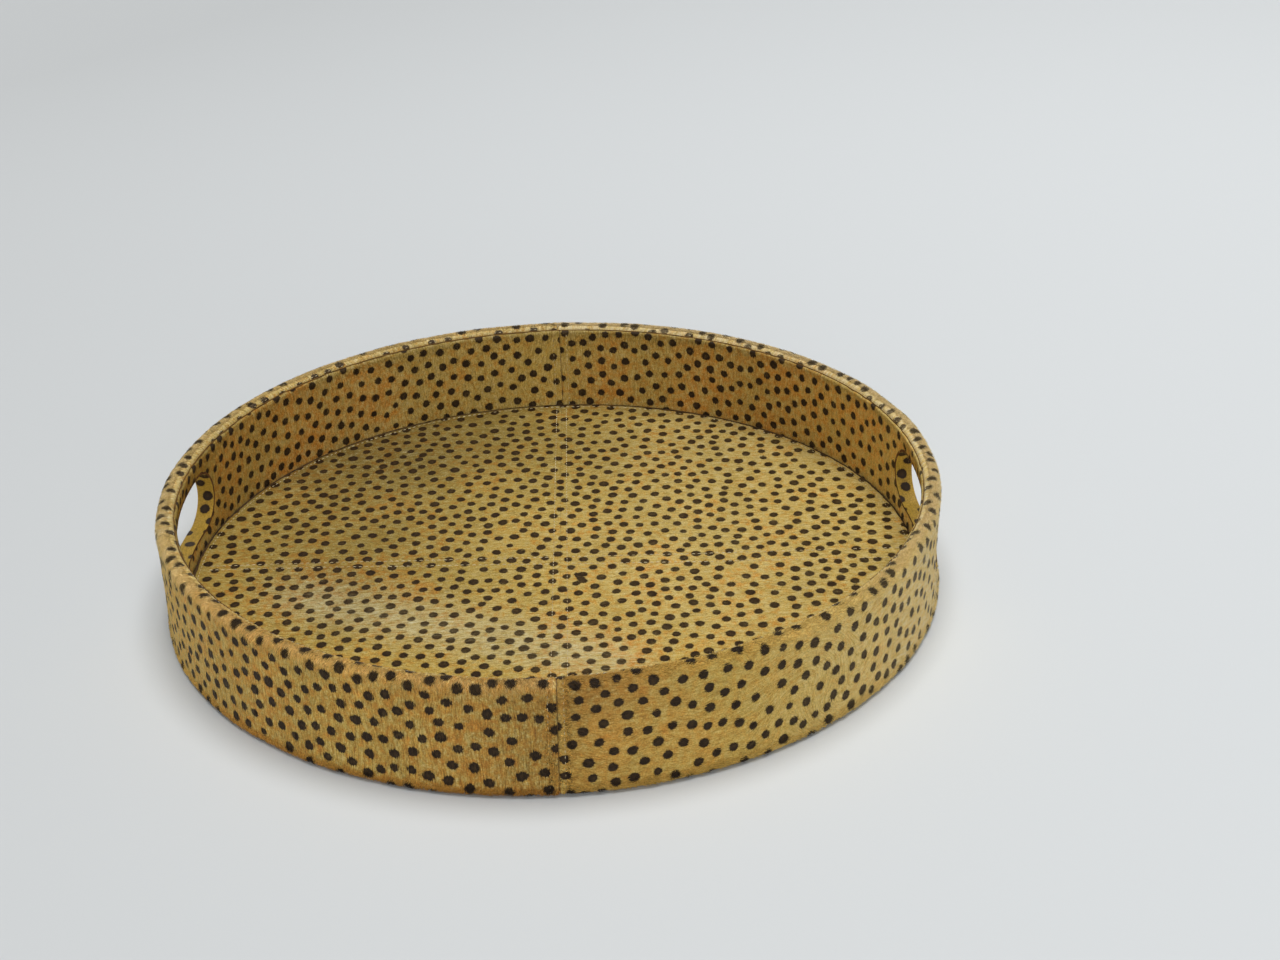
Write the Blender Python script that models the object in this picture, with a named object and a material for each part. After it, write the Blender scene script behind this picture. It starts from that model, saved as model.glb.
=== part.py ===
"""Round serving tray with two hand slots, covered all over in spotted hair-on hide.

Metres, +Z up. The origin is the centre of the underside, on the surface that the tray rests on. The hand
slots face +X and -X, and the seams of the wall's hides stand at +Y (back) and -Y (front).

A hoop of four bent plywood strips in two layers stands round a thin board and is pinned to it. Hide covers
the hoop: an outer half on each side that turns over the rim and under the lower edge, and a lining half on
each side. Four quarters of hide sewn to a card lie on the board, a band of hide lines each slot, and a suede
disc closes the underside.
"""

import math

import bmesh
import bpy

# The tray as a whole
TRAY_RADIUS = 0.190
TRAY_HEIGHT = 0.056

# Thicknesses of the sheets and boards
HIDE_THICKNESS = 0.0012
PLY_THICKNESS = 0.0030
BOARD_THICKNESS = 0.0040
CARD_THICKNESS = 0.0015
COVER_THICKNESS = 0.0008

# The glue line between pieces that lie on each other, and the gap between hides at a seam
GLUE_LINE = 0.0003
SEAM_GAP = 0.0004

# The rim is rounded on both sides of a narrow flat crown, and the outer hide ends on its inner side
RIM_CROWN = 0.0013
RIM_SEAM_LEAN = math.radians(50)

# Eased lower edge of the hoop, eased upper edges of the floor's hides, margin round the underside's disc
CORE_EASE = 0.0005
HIDE_EDGE_EASE = 0.0003
COVER_MARGIN = 0.0040

# Hand slots: the clear opening, and how far its centre lies below the middle of the wall inside the tray
SLOT_LENGTH = 0.090
SLOT_HEIGHT = 0.030
SLOT_DROP = 0.0022
LINER_PROUD = 0.0003

# How far round the hoop the inner layer's joints stand from the outer layer's
JOINT_STAGGER = math.radians(30)

# Panel pins through the hoop into the board's edge
PIN_COUNT = 12
PIN_RADIUS = 0.0008
PIN_LENGTH = 0.020
PIN_POINT = 0.0020
PIN_SET = 0.0003
PIN_CLEARANCE = 0.0003

# Topstitching beside the seams, round the floor's edge and along the rim's seam
THREAD_RADIUS = 0.00025
STITCH_OFFSET = 0.00375
FLOOR_STITCH_INSET = 0.0035
RIM_STITCH_INSET = 0.0010
ROW_END_MARGIN = 0.0025

# Facets of a whole turn, of a slot's round end, of a small rounding and of a pin
TURN_STEPS = 72
SLOT_END_STEPS = 10
ROUND_STEPS = 3
PIN_STEPS = 8
SMOOTH_ANGLE = math.radians(30)

# How far a cutter reaches past what it cuts
OVERRUN = 0.004

# What one layer of hide with its glue adds to the hoop
SKIN = HIDE_THICKNESS + GLUE_LINE

# Radii of the layers of the wall, from outside to inside
OUTER_PLY_OUTER = TRAY_RADIUS - SKIN
OUTER_PLY_INNER = OUTER_PLY_OUTER - PLY_THICKNESS
INNER_PLY_OUTER = OUTER_PLY_INNER - GLUE_LINE
INNER_PLY_INNER = INNER_PLY_OUTER - PLY_THICKNESS
LINING_OUTER = INNER_PLY_INNER - GLUE_LINE
LINING_INNER = LINING_OUTER - HIDE_THICKNESS
BOARD_RADIUS = INNER_PLY_INNER - GLUE_LINE
FLOOR_RADIUS = LINING_INNER - GLUE_LINE

# Heights of the layers, from the resting surface up
HIDE_FOOT = COVER_THICKNESS + GLUE_LINE
BOARD_TOP = HIDE_FOOT + BOARD_THICKNESS
CARD_FOOT = BOARD_TOP + GLUE_LINE
CARD_TOP = CARD_FOOT + CARD_THICKNESS
FLOOR_FOOT = CARD_TOP + GLUE_LINE
FLOOR_TOP = FLOOR_FOOT + HIDE_THICKNESS
HOOP_FOOT = HIDE_FOOT + SKIN
HOOP_TOP = TRAY_HEIGHT - SKIN
SLOT_CENTRE = (FLOOR_TOP + TRAY_HEIGHT) / 2 - SLOT_DROP
PIN_HEIGHT = (HOOP_FOOT + BOARD_TOP) / 2

# Roundings of the covered wall and the centres that its layers share
RIM_ROUND = (TRAY_RADIUS - LINING_INNER - RIM_CROWN) / 2
RIM_CENTRE_Z = TRAY_HEIGHT - RIM_ROUND
RIM_OUTER_CENTRE_R = TRAY_RADIUS - RIM_ROUND
RIM_INNER_CENTRE_R = LINING_INNER + RIM_ROUND
FOOT_ROUND = SKIN + CORE_EASE
FOOT_CENTRE_R = TRAY_RADIUS - FOOT_ROUND
FOOT_CENTRE_Z = HIDE_FOOT + FOOT_ROUND

# How far a thread's middle stands off the hide that it lies on
THREAD_LIFT = GLUE_LINE + THREAD_RADIUS

QUARTER_TURN = math.pi / 2
HALF_TURN = math.pi
WHOLE_TURN = 2 * math.pi
SEAM_ANGLES = {"back": QUARTER_TURN, "front": -QUARTER_TURN}
SIDE_STARTS = {"right": SEAM_ANGLES["front"], "left": SEAM_ANGLES["back"]}
SIDE_SIGNS = {"right": 1, "left": -1}
END_SIGNS = {"back": 1, "front": -1}


def clear_scene():
    for thing in list(bpy.data.objects):
        bpy.data.objects.remove(thing, do_unlink=True)


def make_material(name, colour, roughness, metallic=0.0):
    material = bpy.data.materials.new(name)
    material.use_nodes = True
    shader = material.node_tree.nodes["Principled BSDF"]
    shader.inputs["Base Color"].default_value = (*colour, 1.0)
    shader.inputs["Roughness"].default_value = roughness
    shader.inputs["Metallic"].default_value = metallic
    return material


def make_materials():
    return {
        "outer_hide": make_material("outer_hide", (0.42, 0.25, 0.08), 0.85),
        "lining_hide": make_material("lining_hide", (0.40, 0.22, 0.06), 0.80),
        "floor_hide": make_material("floor_hide", (0.44, 0.28, 0.09), 0.80),
        "slot_hide": make_material("slot_hide", (0.45, 0.28, 0.05), 0.75),
        "plywood": make_material("plywood", (0.52, 0.36, 0.20), 0.70),
        "base_board": make_material("base_board", (0.33, 0.22, 0.13), 0.80),
        "backing_card": make_material("backing_card", (0.28, 0.25, 0.21), 0.90),
        "suede": make_material("suede", (0.06, 0.045, 0.035), 0.95),
        "thread": make_material("thread", (0.62, 0.55, 0.42), 0.60),
        "pin_steel": make_material("pin_steel", (0.55, 0.55, 0.56), 0.35, 1.0),
    }


def mesh_from(shape, name, material):
    """Turns a finished bmesh into a smooth-shaded mesh whose faces point outwards."""
    bmesh.ops.recalc_face_normals(shape, faces=shape.faces)
    mesh = bpy.data.meshes.new(name)
    shape.to_mesh(mesh)
    shape.free()
    if material is not None:
        mesh.materials.append(material)
    mesh.shade_smooth()
    mesh.set_sharp_from_angle(angle=SMOOTH_ANGLE)
    return mesh


def add_object(name, data):
    thing = bpy.data.objects.new(name, data)
    bpy.context.scene.collection.objects.link(thing)
    return thing


def as_cutter(thing):
    thing.hide_render = True
    thing.display_type = "WIRE"
    return thing


def cut(thing, cutter, operation="DIFFERENCE"):
    modifier = thing.modifiers.new(cutter.name, "BOOLEAN")
    modifier.operation = operation
    modifier.object = cutter


def arc(centre_r, centre_z, radius, start, end, steps=ROUND_STEPS):
    """Points (r, z) of a round stretch of an outline, both ends included."""
    angles = [start + (end - start) * i / steps for i in range(steps + 1)]
    return [(centre_r + radius * math.cos(a), centre_z + radius * math.sin(a)) for a in angles]


def circle(radius, start=0.0, end=WHOLE_TURN):
    """Points (x, y) on a circle at the tray's facet angle, with both ends where it is only an arc."""
    steps = max(2, round(TURN_STEPS * (end - start) / WHOLE_TURN))
    count = steps if math.isclose(end - start, WHOLE_TURN) else steps + 1
    angles = [start + (end - start) * i / steps for i in range(count)]
    return [(radius * math.cos(a), radius * math.sin(a)) for a in angles]


def join_rings(shape, rings):
    """Faces between each ring of vertices and the next, all rings having as many."""
    for near, far in zip(rings, rings[1:]):
        for i in range(len(near)):
            j = (i + 1) % len(near)
            shape.faces.new((near[i], far[i], far[j], near[j]))


def turned(name, outline, start, sweep, material):
    """Turns a closed outline of (r, z) points about Z, from the start angle through the sweep."""
    steps = max(2, round(TURN_STEPS * sweep / WHOLE_TURN))
    angles = [start + sweep * i / steps for i in range(steps + 1)]
    shape = bmesh.new()
    if math.isclose(sweep, WHOLE_TURN):
        angles.pop()
    rings = [[shape.verts.new((r * math.cos(a), r * math.sin(a), z)) for r, z in outline] for a in angles]
    if math.isclose(sweep, WHOLE_TURN):
        join_rings(shape, [*rings, rings[0]])
    else:
        join_rings(shape, rings)
        shape.faces.new(rings[0])
        shape.faces.new(rings[-1])
    return add_object(name, mesh_from(shape, name, material))


def plate(name, corners, foot, top, material, edge_ease=0.0):
    """A flat sheet with the given (x, y) corners, its upper edges eased if asked."""
    shape = bmesh.new()
    rings = [[shape.verts.new((x, y, z)) for x, y in corners] for z in (foot, top)]
    join_rings(shape, rings)
    shape.faces.new(rings[0])
    lid = shape.faces.new(rings[1])
    if edge_ease:
        bmesh.ops.bevel(shape, geom=list(lid.edges), offset=edge_ease, segments=1, affect="EDGES")
    return add_object(name, mesh_from(shape, name, material))


def slot_outline(grow):
    """The (y, z) outline of a hand slot, a bar with half-round ends, larger all round by grow."""
    radius = SLOT_HEIGHT / 2 + grow
    reach = (SLOT_LENGTH - SLOT_HEIGHT) / 2
    points = []
    for sign, start in ((1, -QUARTER_TURN), (-1, QUARTER_TURN)):
        points += arc(sign * reach, SLOT_CENTRE, radius, start, start + HALF_TURN, SLOT_END_STEPS)
    return points


def slot_bar(name, grow, from_x, to_x, material=None):
    """A bar of the slot's shape that runs along X."""
    shape = bmesh.new()
    rings = [[shape.verts.new((x, y, z)) for y, z in slot_outline(grow)] for x in (from_x, to_x)]
    join_rings(shape, rings)
    shape.faces.new(rings[0])
    shape.faces.new(rings[1])
    return add_object(name, mesh_from(shape, name, material))


def slot_cutter():
    reach = TRAY_RADIUS + OVERRUN
    return as_cutter(slot_bar("slot_cutter", SKIN, -reach, reach))


def pin_frame():
    """Where each pin's head stands and which way it faces: half a space away from the seams and slots."""
    head_r = OUTER_PLY_OUTER - PIN_SET
    angles = [WHOLE_TURN * (i + 0.5) / PIN_COUNT for i in range(PIN_COUNT)]
    return [((head_r * math.cos(a), head_r * math.sin(a), PIN_HEIGHT), a) for a in angles]


def pin_rod(name, radius, head_x, neck_x, point_x, material=None):
    """A round rod along X, drawn to a point at its inner end."""
    shape = bmesh.new()
    turns = [WHOLE_TURN * (i + 0.5) / PIN_STEPS for i in range(PIN_STEPS)]
    section = [(radius * math.cos(t), radius * math.sin(t)) for t in turns]
    rings = [[shape.verts.new((x, y, z)) for y, z in section] for x in (head_x, neck_x)]
    join_rings(shape, rings)
    shape.faces.new(rings[0])
    tip = shape.verts.new((point_x, 0, 0))
    for i in range(PIN_STEPS):
        shape.faces.new((rings[1][i], rings[1][(i + 1) % PIN_STEPS], tip))
    return mesh_from(shape, name, material)


def make_pins(material):
    mesh = pin_rod("hoop_pin", PIN_RADIUS, 0, PIN_POINT - PIN_LENGTH, -PIN_LENGTH, material)
    for number, (place, angle) in enumerate(pin_frame(), start=1):
        pin = add_object(f"hoop_pin_{number:02d}", mesh)
        pin.location = place
        pin.rotation_euler.z = angle


def pin_cutters():
    """The pins' holes: wider and deeper than the pins, and open to the outside of the hoop."""
    length = PIN_LENGTH + PIN_CLEARANCE
    neck = PIN_POINT - length
    mesh = pin_rod("pin_hole", PIN_RADIUS + PIN_CLEARANCE, OVERRUN, neck, -length - PIN_CLEARANCE)
    cutters = []
    for number, (place, angle) in enumerate(pin_frame(), start=1):
        cutter = as_cutter(add_object(f"pin_hole_{number:02d}", mesh))
        cutter.location = place
        cutter.rotation_euler.z = angle
        cutters.append(cutter)
    return cutters


def hoop_outlines():
    """The two strips' (r, z) outlines, rounded where the hides turn over the rim and under the foot."""
    core_round = RIM_ROUND - SKIN
    foot = arc(FOOT_CENTRE_R, FOOT_CENTRE_Z, CORE_EASE, -QUARTER_TURN, 0)
    outer_rim = arc(RIM_OUTER_CENTRE_R, RIM_CENTRE_Z, core_round, 0, QUARTER_TURN)
    inner_rim = arc(RIM_INNER_CENTRE_R, RIM_CENTRE_Z, core_round, QUARTER_TURN, HALF_TURN)
    outer_ply = [(OUTER_PLY_INNER, HOOP_FOOT), *foot, *outer_rim, (OUTER_PLY_INNER, HOOP_TOP)]
    inner_ply = [(INNER_PLY_INNER, HOOP_FOOT), (INNER_PLY_OUTER, HOOP_FOOT), (INNER_PLY_OUTER, HOOP_TOP)]
    return outer_ply, inner_ply + inner_rim


def make_hoop(material, slots, pin_holes):
    """Two layers of two bent strips each. The inner layer's butt joints stand a stagger past the outer's."""
    outer_ply, inner_ply = hoop_outlines()
    half_gap = GLUE_LINE / 2 / TRAY_RADIUS
    layers = {"hoop_outer_ply": (outer_ply, 0), "hoop_inner_ply": (inner_ply, JOINT_STAGGER)}
    for layer, (outline, turn) in layers.items():
        for side, seam in SIDE_STARTS.items():
            start = seam + turn + half_gap
            strip = turned(f"{layer}_{side}", outline, start, HALF_TURN - 2 * half_gap, material)
            cut(strip, slots)
            for hole in pin_holes:
                cut(strip, hole)


def make_base(materials, pin_holes):
    """The board inside the hoop's foot, the card on it and the suede under it."""
    board = plate("base_board", circle(BOARD_RADIUS), HIDE_FOOT, BOARD_TOP, materials["base_board"])
    for hole in pin_holes:
        cut(board, hole)
    plate("floor_card", circle(FLOOR_RADIUS), CARD_FOOT, CARD_TOP, materials["backing_card"])
    cover_edge = circle(TRAY_RADIUS - COVER_MARGIN)
    plate("underside_cover", cover_edge, 0, COVER_THICKNESS, materials["suede"])


def half_sweep(side, radius):
    """Start angle and sweep of one half of the wall's covering, short of the seams by half a seam gap."""
    half_gap = SEAM_GAP / 2 / radius
    return SIDE_STARTS[side] + half_gap, HALF_TURN - 2 * half_gap


def outer_hide_outline():
    """From the edge under the foot, up the wall and over the rim to the seam, and back on the glued side."""
    seam = QUARTER_TURN + RIM_SEAM_LEAN
    foot = (FOOT_CENTRE_R, FOOT_CENTRE_Z)
    outer_rim = (RIM_OUTER_CENTRE_R, RIM_CENTRE_Z)
    inner_rim = (RIM_INNER_CENTRE_R, RIM_CENTRE_Z)
    hair_side = arc(*foot, FOOT_ROUND, -QUARTER_TURN, 0)
    hair_side += arc(*outer_rim, RIM_ROUND, 0, QUARTER_TURN)
    hair_side += arc(*inner_rim, RIM_ROUND, QUARTER_TURN, seam)
    glued_side = arc(*inner_rim, RIM_ROUND - HIDE_THICKNESS, seam, QUARTER_TURN)
    glued_side += arc(*outer_rim, RIM_ROUND - HIDE_THICKNESS, QUARTER_TURN, 0)
    glued_side += arc(*foot, FOOT_ROUND - HIDE_THICKNESS, 0, -QUARTER_TURN)
    lower_edge = [(INNER_PLY_INNER, HIDE_FOOT + HIDE_THICKNESS), (INNER_PLY_INNER, HIDE_FOOT)]
    return hair_side + glued_side + lower_edge


def lining_outline():
    """Up the inside of the hoop from the board and over the rim's inner side, as far as the seam."""
    seam = QUARTER_TURN + RIM_SEAM_LEAN + SEAM_GAP / RIM_ROUND
    inner_rim = (RIM_INNER_CENTRE_R, RIM_CENTRE_Z)
    hair_side = [(LINING_INNER, CARD_FOOT), *arc(*inner_rim, RIM_ROUND, HALF_TURN, seam)]
    glued_side = [*arc(*inner_rim, RIM_ROUND - HIDE_THICKNESS, seam, HALF_TURN), (LINING_OUTER, CARD_FOOT)]
    return hair_side + glued_side


def make_wall_hides(materials, slots):
    for side in SIDE_STARTS:
        start, sweep = half_sweep(side, TRAY_RADIUS)
        outer = turned(f"outer_hide_{side}", outer_hide_outline(), start, sweep, materials["outer_hide"])
        cut(outer, slots)
        start, sweep = half_sweep(side, LINING_INNER)
        lining = turned(f"lining_hide_{side}", lining_outline(), start, sweep, materials["lining_hide"])
        cut(lining, slots)


def make_floor_hides(material):
    """Four quarters that meet at seams along X and Y."""
    half_gap = SEAM_GAP / 2
    margin = math.asin(half_gap / FLOOR_RADIUS)
    first = [(half_gap, half_gap), *circle(FLOOR_RADIUS, margin, QUARTER_TURN - margin)]
    for turns, quarter in enumerate(("back_right", "back_left", "front_left", "front_right")):
        name = f"floor_hide_{quarter}"
        piece = plate(name, first, FLOOR_FOOT, FLOOR_TOP, material, HIDE_EDGE_EASE)
        piece.rotation_euler.z = turns * QUARTER_TURN


def make_slot_liners(material):
    """A band of hide round the inside of each slot, trimmed just proud of the faces of the wall."""
    inner_r = LINING_INNER - LINER_PROUD
    outer_r = TRAY_RADIUS + LINER_PROUD
    wall = [(inner_r, 0), (outer_r, 0), (outer_r, TRAY_HEIGHT), (inner_r, TRAY_HEIGHT)]
    trim = as_cutter(turned("liner_trim", wall, SEAM_ANGLES["front"], WHOLE_TURN, None))
    reach = TRAY_RADIUS + OVERRUN
    bore = as_cutter(slot_bar("liner_bore", 0, -reach - OVERRUN, reach + OVERRUN))
    for side, sign in SIDE_SIGNS.items():
        band = slot_bar(f"slot_liner_{side}", HIDE_THICKNESS, sign * LINING_INNER / 2, sign * reach, material)
        cut(band, bore)
        cut(band, trim, "INTERSECT")


def thread(name, points, material, closed=False):
    """The top thread of a row of stitches, as one line along the row."""
    curve = bpy.data.curves.new(name, "CURVE")
    curve.dimensions = "3D"
    curve.bevel_depth = THREAD_RADIUS
    curve.bevel_resolution = 1
    curve.use_fill_caps = True
    spline = curve.splines.new("POLY")
    spline.points.add(len(points) - 1)
    for point, place in zip(spline.points, points):
        point.co = (*place, 1.0)
    spline.use_cyclic_u = closed
    curve.materials.append(material)
    add_object(name, curve)


def make_floor_threads(material):
    """Rows on both sides of each floor seam, and one round the floor's edge."""
    height = FLOOR_TOP + THREAD_LIFT
    edge_row = FLOOR_RADIUS - FLOOR_STITCH_INSET
    row_end = edge_row - ROW_END_MARGIN
    row_start = STITCH_OFFSET + ROW_END_MARGIN
    for end, end_sign in END_SIGNS.items():
        for side, side_sign in SIDE_SIGNS.items():
            x = side_sign * STITCH_OFFSET
            row = [(x, end_sign * y, height) for y in (row_start, row_end)]
            thread(f"floor_thread_{end}_{side}", row, material)
        y = end_sign * STITCH_OFFSET
        thread(f"floor_thread_across_{end}", [(x, y, height) for x in (-row_end, row_end)], material)
    thread("floor_thread_edge", [(x, y, height) for x, y in circle(edge_row)], material, closed=True)


def beside_seam(end, side, row):
    """A row of (r, z) points set beside a wall seam, a stitch offset away from it."""
    turn = SIDE_SIGNS[side] * -END_SIGNS[end] * STITCH_OFFSET / TRAY_RADIUS
    angle = SEAM_ANGLES[end] + turn
    return [(r * math.cos(angle), r * math.sin(angle), z) for r, z in row]


def make_wall_threads(material):
    """Rows on both sides of the wall's seams, outside and inside, and a row along each half of the rim."""
    outside = [(TRAY_RADIUS + THREAD_LIFT, FOOT_CENTRE_Z)]
    outside += arc(RIM_OUTER_CENTRE_R, RIM_CENTRE_Z, RIM_ROUND + THREAD_LIFT, 0, QUARTER_TURN)
    inside_r = LINING_INNER - THREAD_LIFT
    inside = [(inside_r, FLOOR_TOP + THREAD_LIFT), (inside_r, RIM_CENTRE_Z - RIM_STITCH_INSET)]
    for end in END_SIGNS:
        for side in SIDE_SIGNS:
            thread(f"outer_thread_{end}_{side}", beside_seam(end, side, outside), material)
            thread(f"lining_thread_{end}_{side}", beside_seam(end, side, inside), material)
    lean = RIM_SEAM_LEAN + RIM_STITCH_INSET / RIM_ROUND
    row_r = RIM_INNER_CENTRE_R - (RIM_ROUND + THREAD_LIFT) * math.sin(lean)
    row_z = RIM_CENTRE_Z + (RIM_ROUND + THREAD_LIFT) * math.cos(lean)
    margin = ROW_END_MARGIN / TRAY_RADIUS
    for side, start in SIDE_STARTS.items():
        row = circle(row_r, start + margin, start + HALF_TURN - margin)
        thread(f"rim_thread_{side}", [(x, y, row_z) for x, y in row], material)


def gather():
    """Hangs every piece and cutter on one empty at the tray's origin."""
    tray = add_object("tray", None)
    for thing in bpy.context.scene.objects:
        if thing is not tray:
            thing.parent = tray


def main():
    clear_scene()
    materials = make_materials()
    slots = slot_cutter()
    pin_holes = pin_cutters()
    make_hoop(materials["plywood"], slots, pin_holes)
    make_pins(materials["pin_steel"])
    make_base(materials, pin_holes)
    make_wall_hides(materials, slots)
    make_floor_hides(materials["floor_hide"])
    make_slot_liners(materials["slot_hide"])
    make_floor_threads(materials["thread"])
    make_wall_threads(materials["thread"])
    gather()


main()
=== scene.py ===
"""Looks of a round serving tray covered all over in spotted hair-on hide.

Metres, +Z up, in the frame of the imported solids. Each hide is a sheet with flat coordinates u and v, in
metres on its own hair side, and a "lay" function puts a flat point on the wall, the floor or a slot. The
printed spots, the stitches and the loose hairs are placed in the same flat coordinates, so they stay on
the hide.
"""
import math
from functools import partial

import bpy
import numpy as np
from mathutils import Matrix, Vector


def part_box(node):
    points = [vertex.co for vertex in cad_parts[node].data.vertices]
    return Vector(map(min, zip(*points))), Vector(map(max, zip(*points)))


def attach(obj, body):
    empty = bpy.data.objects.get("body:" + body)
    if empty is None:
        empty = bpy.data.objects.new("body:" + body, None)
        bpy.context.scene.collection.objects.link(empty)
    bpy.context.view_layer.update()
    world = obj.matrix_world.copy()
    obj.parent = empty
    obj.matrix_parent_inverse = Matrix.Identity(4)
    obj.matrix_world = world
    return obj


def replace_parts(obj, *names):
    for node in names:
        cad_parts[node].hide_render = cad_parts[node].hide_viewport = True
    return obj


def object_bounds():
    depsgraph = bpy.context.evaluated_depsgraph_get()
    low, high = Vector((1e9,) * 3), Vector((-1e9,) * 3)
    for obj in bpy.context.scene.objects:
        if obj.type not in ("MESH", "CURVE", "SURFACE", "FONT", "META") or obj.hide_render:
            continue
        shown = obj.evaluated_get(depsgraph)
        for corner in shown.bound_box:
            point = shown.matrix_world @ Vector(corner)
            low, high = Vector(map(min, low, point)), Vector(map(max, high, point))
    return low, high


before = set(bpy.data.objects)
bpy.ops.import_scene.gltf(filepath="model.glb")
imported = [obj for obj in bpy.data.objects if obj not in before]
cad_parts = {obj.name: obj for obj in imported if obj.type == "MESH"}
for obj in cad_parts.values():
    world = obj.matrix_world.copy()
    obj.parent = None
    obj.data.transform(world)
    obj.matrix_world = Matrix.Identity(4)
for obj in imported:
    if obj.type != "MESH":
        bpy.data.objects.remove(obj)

CAD_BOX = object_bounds()

MM = 0.001
WHOLE_TURN = 2 * math.pi
HALF_TURN = math.pi
QUARTER_TURN = math.pi / 2

# Sizes read from the solids, and the glue line between them
OUTER_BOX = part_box("outer_hide_right")
FLOOR_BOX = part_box("floor_hide_back_right")
SLOT_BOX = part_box("slot_liner_right")
GLUE_LINE = 0.3 * MM
RADIUS = OUTER_BOX[1].x
RIM_TOP = OUTER_BOX[1].z
FOOT = OUTER_BOX[0].z
FLOOR_TOP = FLOOR_BOX[1].z
FLOOR_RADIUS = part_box("floor_card")[1].x
LINING_RADIUS = FLOOR_RADIUS + GLUE_LINE
LINING_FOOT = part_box("lining_hide_right")[0].z
FOOT_EDGE_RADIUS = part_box("base_board")[1].x + GLUE_LINE
HIDE = FLOOR_BOX[1].z - FLOOR_BOX[0].z
SLOT_LENGTH = 2 * (SLOT_BOX[1].y - HIDE)
SLOT_HEIGHT = SLOT_BOX[1].z - SLOT_BOX[0].z - 2 * HIDE
SLOT_CENTRE = (SLOT_BOX[1].z + SLOT_BOX[0].z) / 2

# Roundings of the wall, and how far round the rim's inner side the outer hide reaches
RIM_CROWN = 1.3 * MM
RIM_ROUND = (RADIUS - LINING_RADIUS - RIM_CROWN) / 2
FOOT_ROUND = 1.3 * MM
SEAM_LEAN = math.radians(50)
RIM_SEAM_GAP = 0.4 * MM
# How far the hides are drawn in at a slot's edge and over what distance, how much of that the slot's lining
# stands out again, and the room that the hides leave round the lining
SLOT_DRAW = 0.8 * MM
SLOT_DRAW_REACH = 5 * MM
LINER_PROUD = 0.15 * MM
LINER_ROOM = 0.1 * MM

# Spacing of the surfaces' points: over the open hide and close to seams
OPEN_STEP = 1.3 * MM
SEAM_STEP = 0.6 * MM
SEAM_BAND = 6 * MM
# Points of each stretch of a profile, and of a line while its grid is spaced out
RUN_POINTS = 40
MEASURE_POINTS = 4000


def arc_run(centre_r, centre_z, radius, start, end):
    """A round stretch of a profile from one angle to another: rows of r, z and the outward normal."""
    angle = np.linspace(start, end, RUN_POINTS)
    out, up = np.cos(angle), np.sin(angle)
    return np.stack([centre_r + radius * out, centre_z + radius * up, out, up], -1)


def straight_run(start, end):
    """A straight stretch of a profile, its normal to the right of the way it runs."""
    share = np.linspace(0, 1, RUN_POINTS)[:, None]
    way = np.subtract(end, start)
    normal = np.array([way[1], -way[0]]) / np.hypot(*way)
    return np.hstack([start + share * way, np.tile(normal, (RUN_POINTS, 1))])


def profile(radius, *runs):
    """Joins stretches of a profile and measures the way along it, which is the hide's v."""
    path = np.concatenate(runs)
    step = np.hypot(*np.diff(path[:, :2], axis=0).T)
    path = path[np.append(True, step > 0)]
    way = np.append(0, np.cumsum(step[step > 0]))
    return {"radius": radius, "way": way, "path": path.T, "length": way[-1]}


RIM_OUTER = (RADIUS - RIM_ROUND, RIM_TOP - RIM_ROUND)
RIM_INNER = (LINING_RADIUS + RIM_ROUND, RIM_TOP - RIM_ROUND)
FOOT_CENTRE = (RADIUS - FOOT_ROUND, FOOT + FOOT_ROUND)
RIM_SEAM = QUARTER_TURN + SEAM_LEAN
OUTER_PROFILE = profile(
    RADIUS,
    straight_run((FOOT_EDGE_RADIUS, FOOT), (FOOT_CENTRE[0], FOOT)),
    arc_run(*FOOT_CENTRE, FOOT_ROUND, -QUARTER_TURN, 0),
    straight_run((RADIUS, FOOT_CENTRE[1]), (RADIUS, RIM_OUTER[1])),
    arc_run(*RIM_OUTER, RIM_ROUND, 0, QUARTER_TURN),
    straight_run((RIM_OUTER[0], RIM_TOP), (RIM_INNER[0], RIM_TOP)),
    arc_run(*RIM_INNER, RIM_ROUND, QUARTER_TURN, RIM_SEAM),
)
LINING_PROFILE = profile(
    LINING_RADIUS,
    arc_run(*RIM_INNER, RIM_ROUND, RIM_SEAM + RIM_SEAM_GAP / RIM_ROUND, HALF_TURN),
    straight_run((LINING_RADIUS, RIM_INNER[1]), (LINING_RADIUS, LINING_FOOT)),
)
# Where each profile ends along v, where the outer hide's wall begins and ends, the middle of the rim, and
# the height of the slot's centre on both sides
OUTER_END = OUTER_PROFILE["length"]
LINING_END = LINING_PROFILE["length"]
WALL_START = FOOT_CENTRE[0] - FOOT_EDGE_RADIUS + FOOT_ROUND * QUARTER_TURN
WALL_END = WALL_START + RIM_OUTER[1] - FOOT_CENTRE[1]
RIM_MIDDLE = WALL_END + RIM_ROUND * QUARTER_TURN + RIM_CROWN / 2
OUTER_SLOT_V = WALL_START + SLOT_CENTRE - FOOT_CENTRE[1]
LINING_SLOT_V = LINING_END - (SLOT_CENTRE - LINING_FOOT)

# Seams of the wall as they stand on the real tray, a little off the even quarters: the angle round the tray,
# and how far that leans from one end of the seam to the other
OUTER_SEAMS = {"front": (math.radians(-88.05), math.radians(0.4)), "back": (math.radians(90), 0.0)}
LINING_SEAMS = {"front": (math.radians(-90), 0.0), "back": (math.radians(89.7), 0.0)}
# Within this distance of a seam the grid's lines lean as the seam does
SEAM_PULL = 30 * MM
WALL_SEAM_GAP = 0.35 * MM
FLOOR_SEAM_GAP = 0.06 * MM

# The floor's seams wander. Points (along, aside) seen on the real tray, in metres
BACK_TO_FRONT_WANDER = [(0.18, 0.0002), (0.098, 0.0014), (0.0, 0.0028), (-0.047, 0.0036), (-0.18, 0.0053)]
SIDE_TO_SIDE_WANDER = [(-0.17, 0.0015), (-0.069, -0.0005), (0.0, -0.0015), (0.06, -0.0035), (0.17, -0.0045)]
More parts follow.
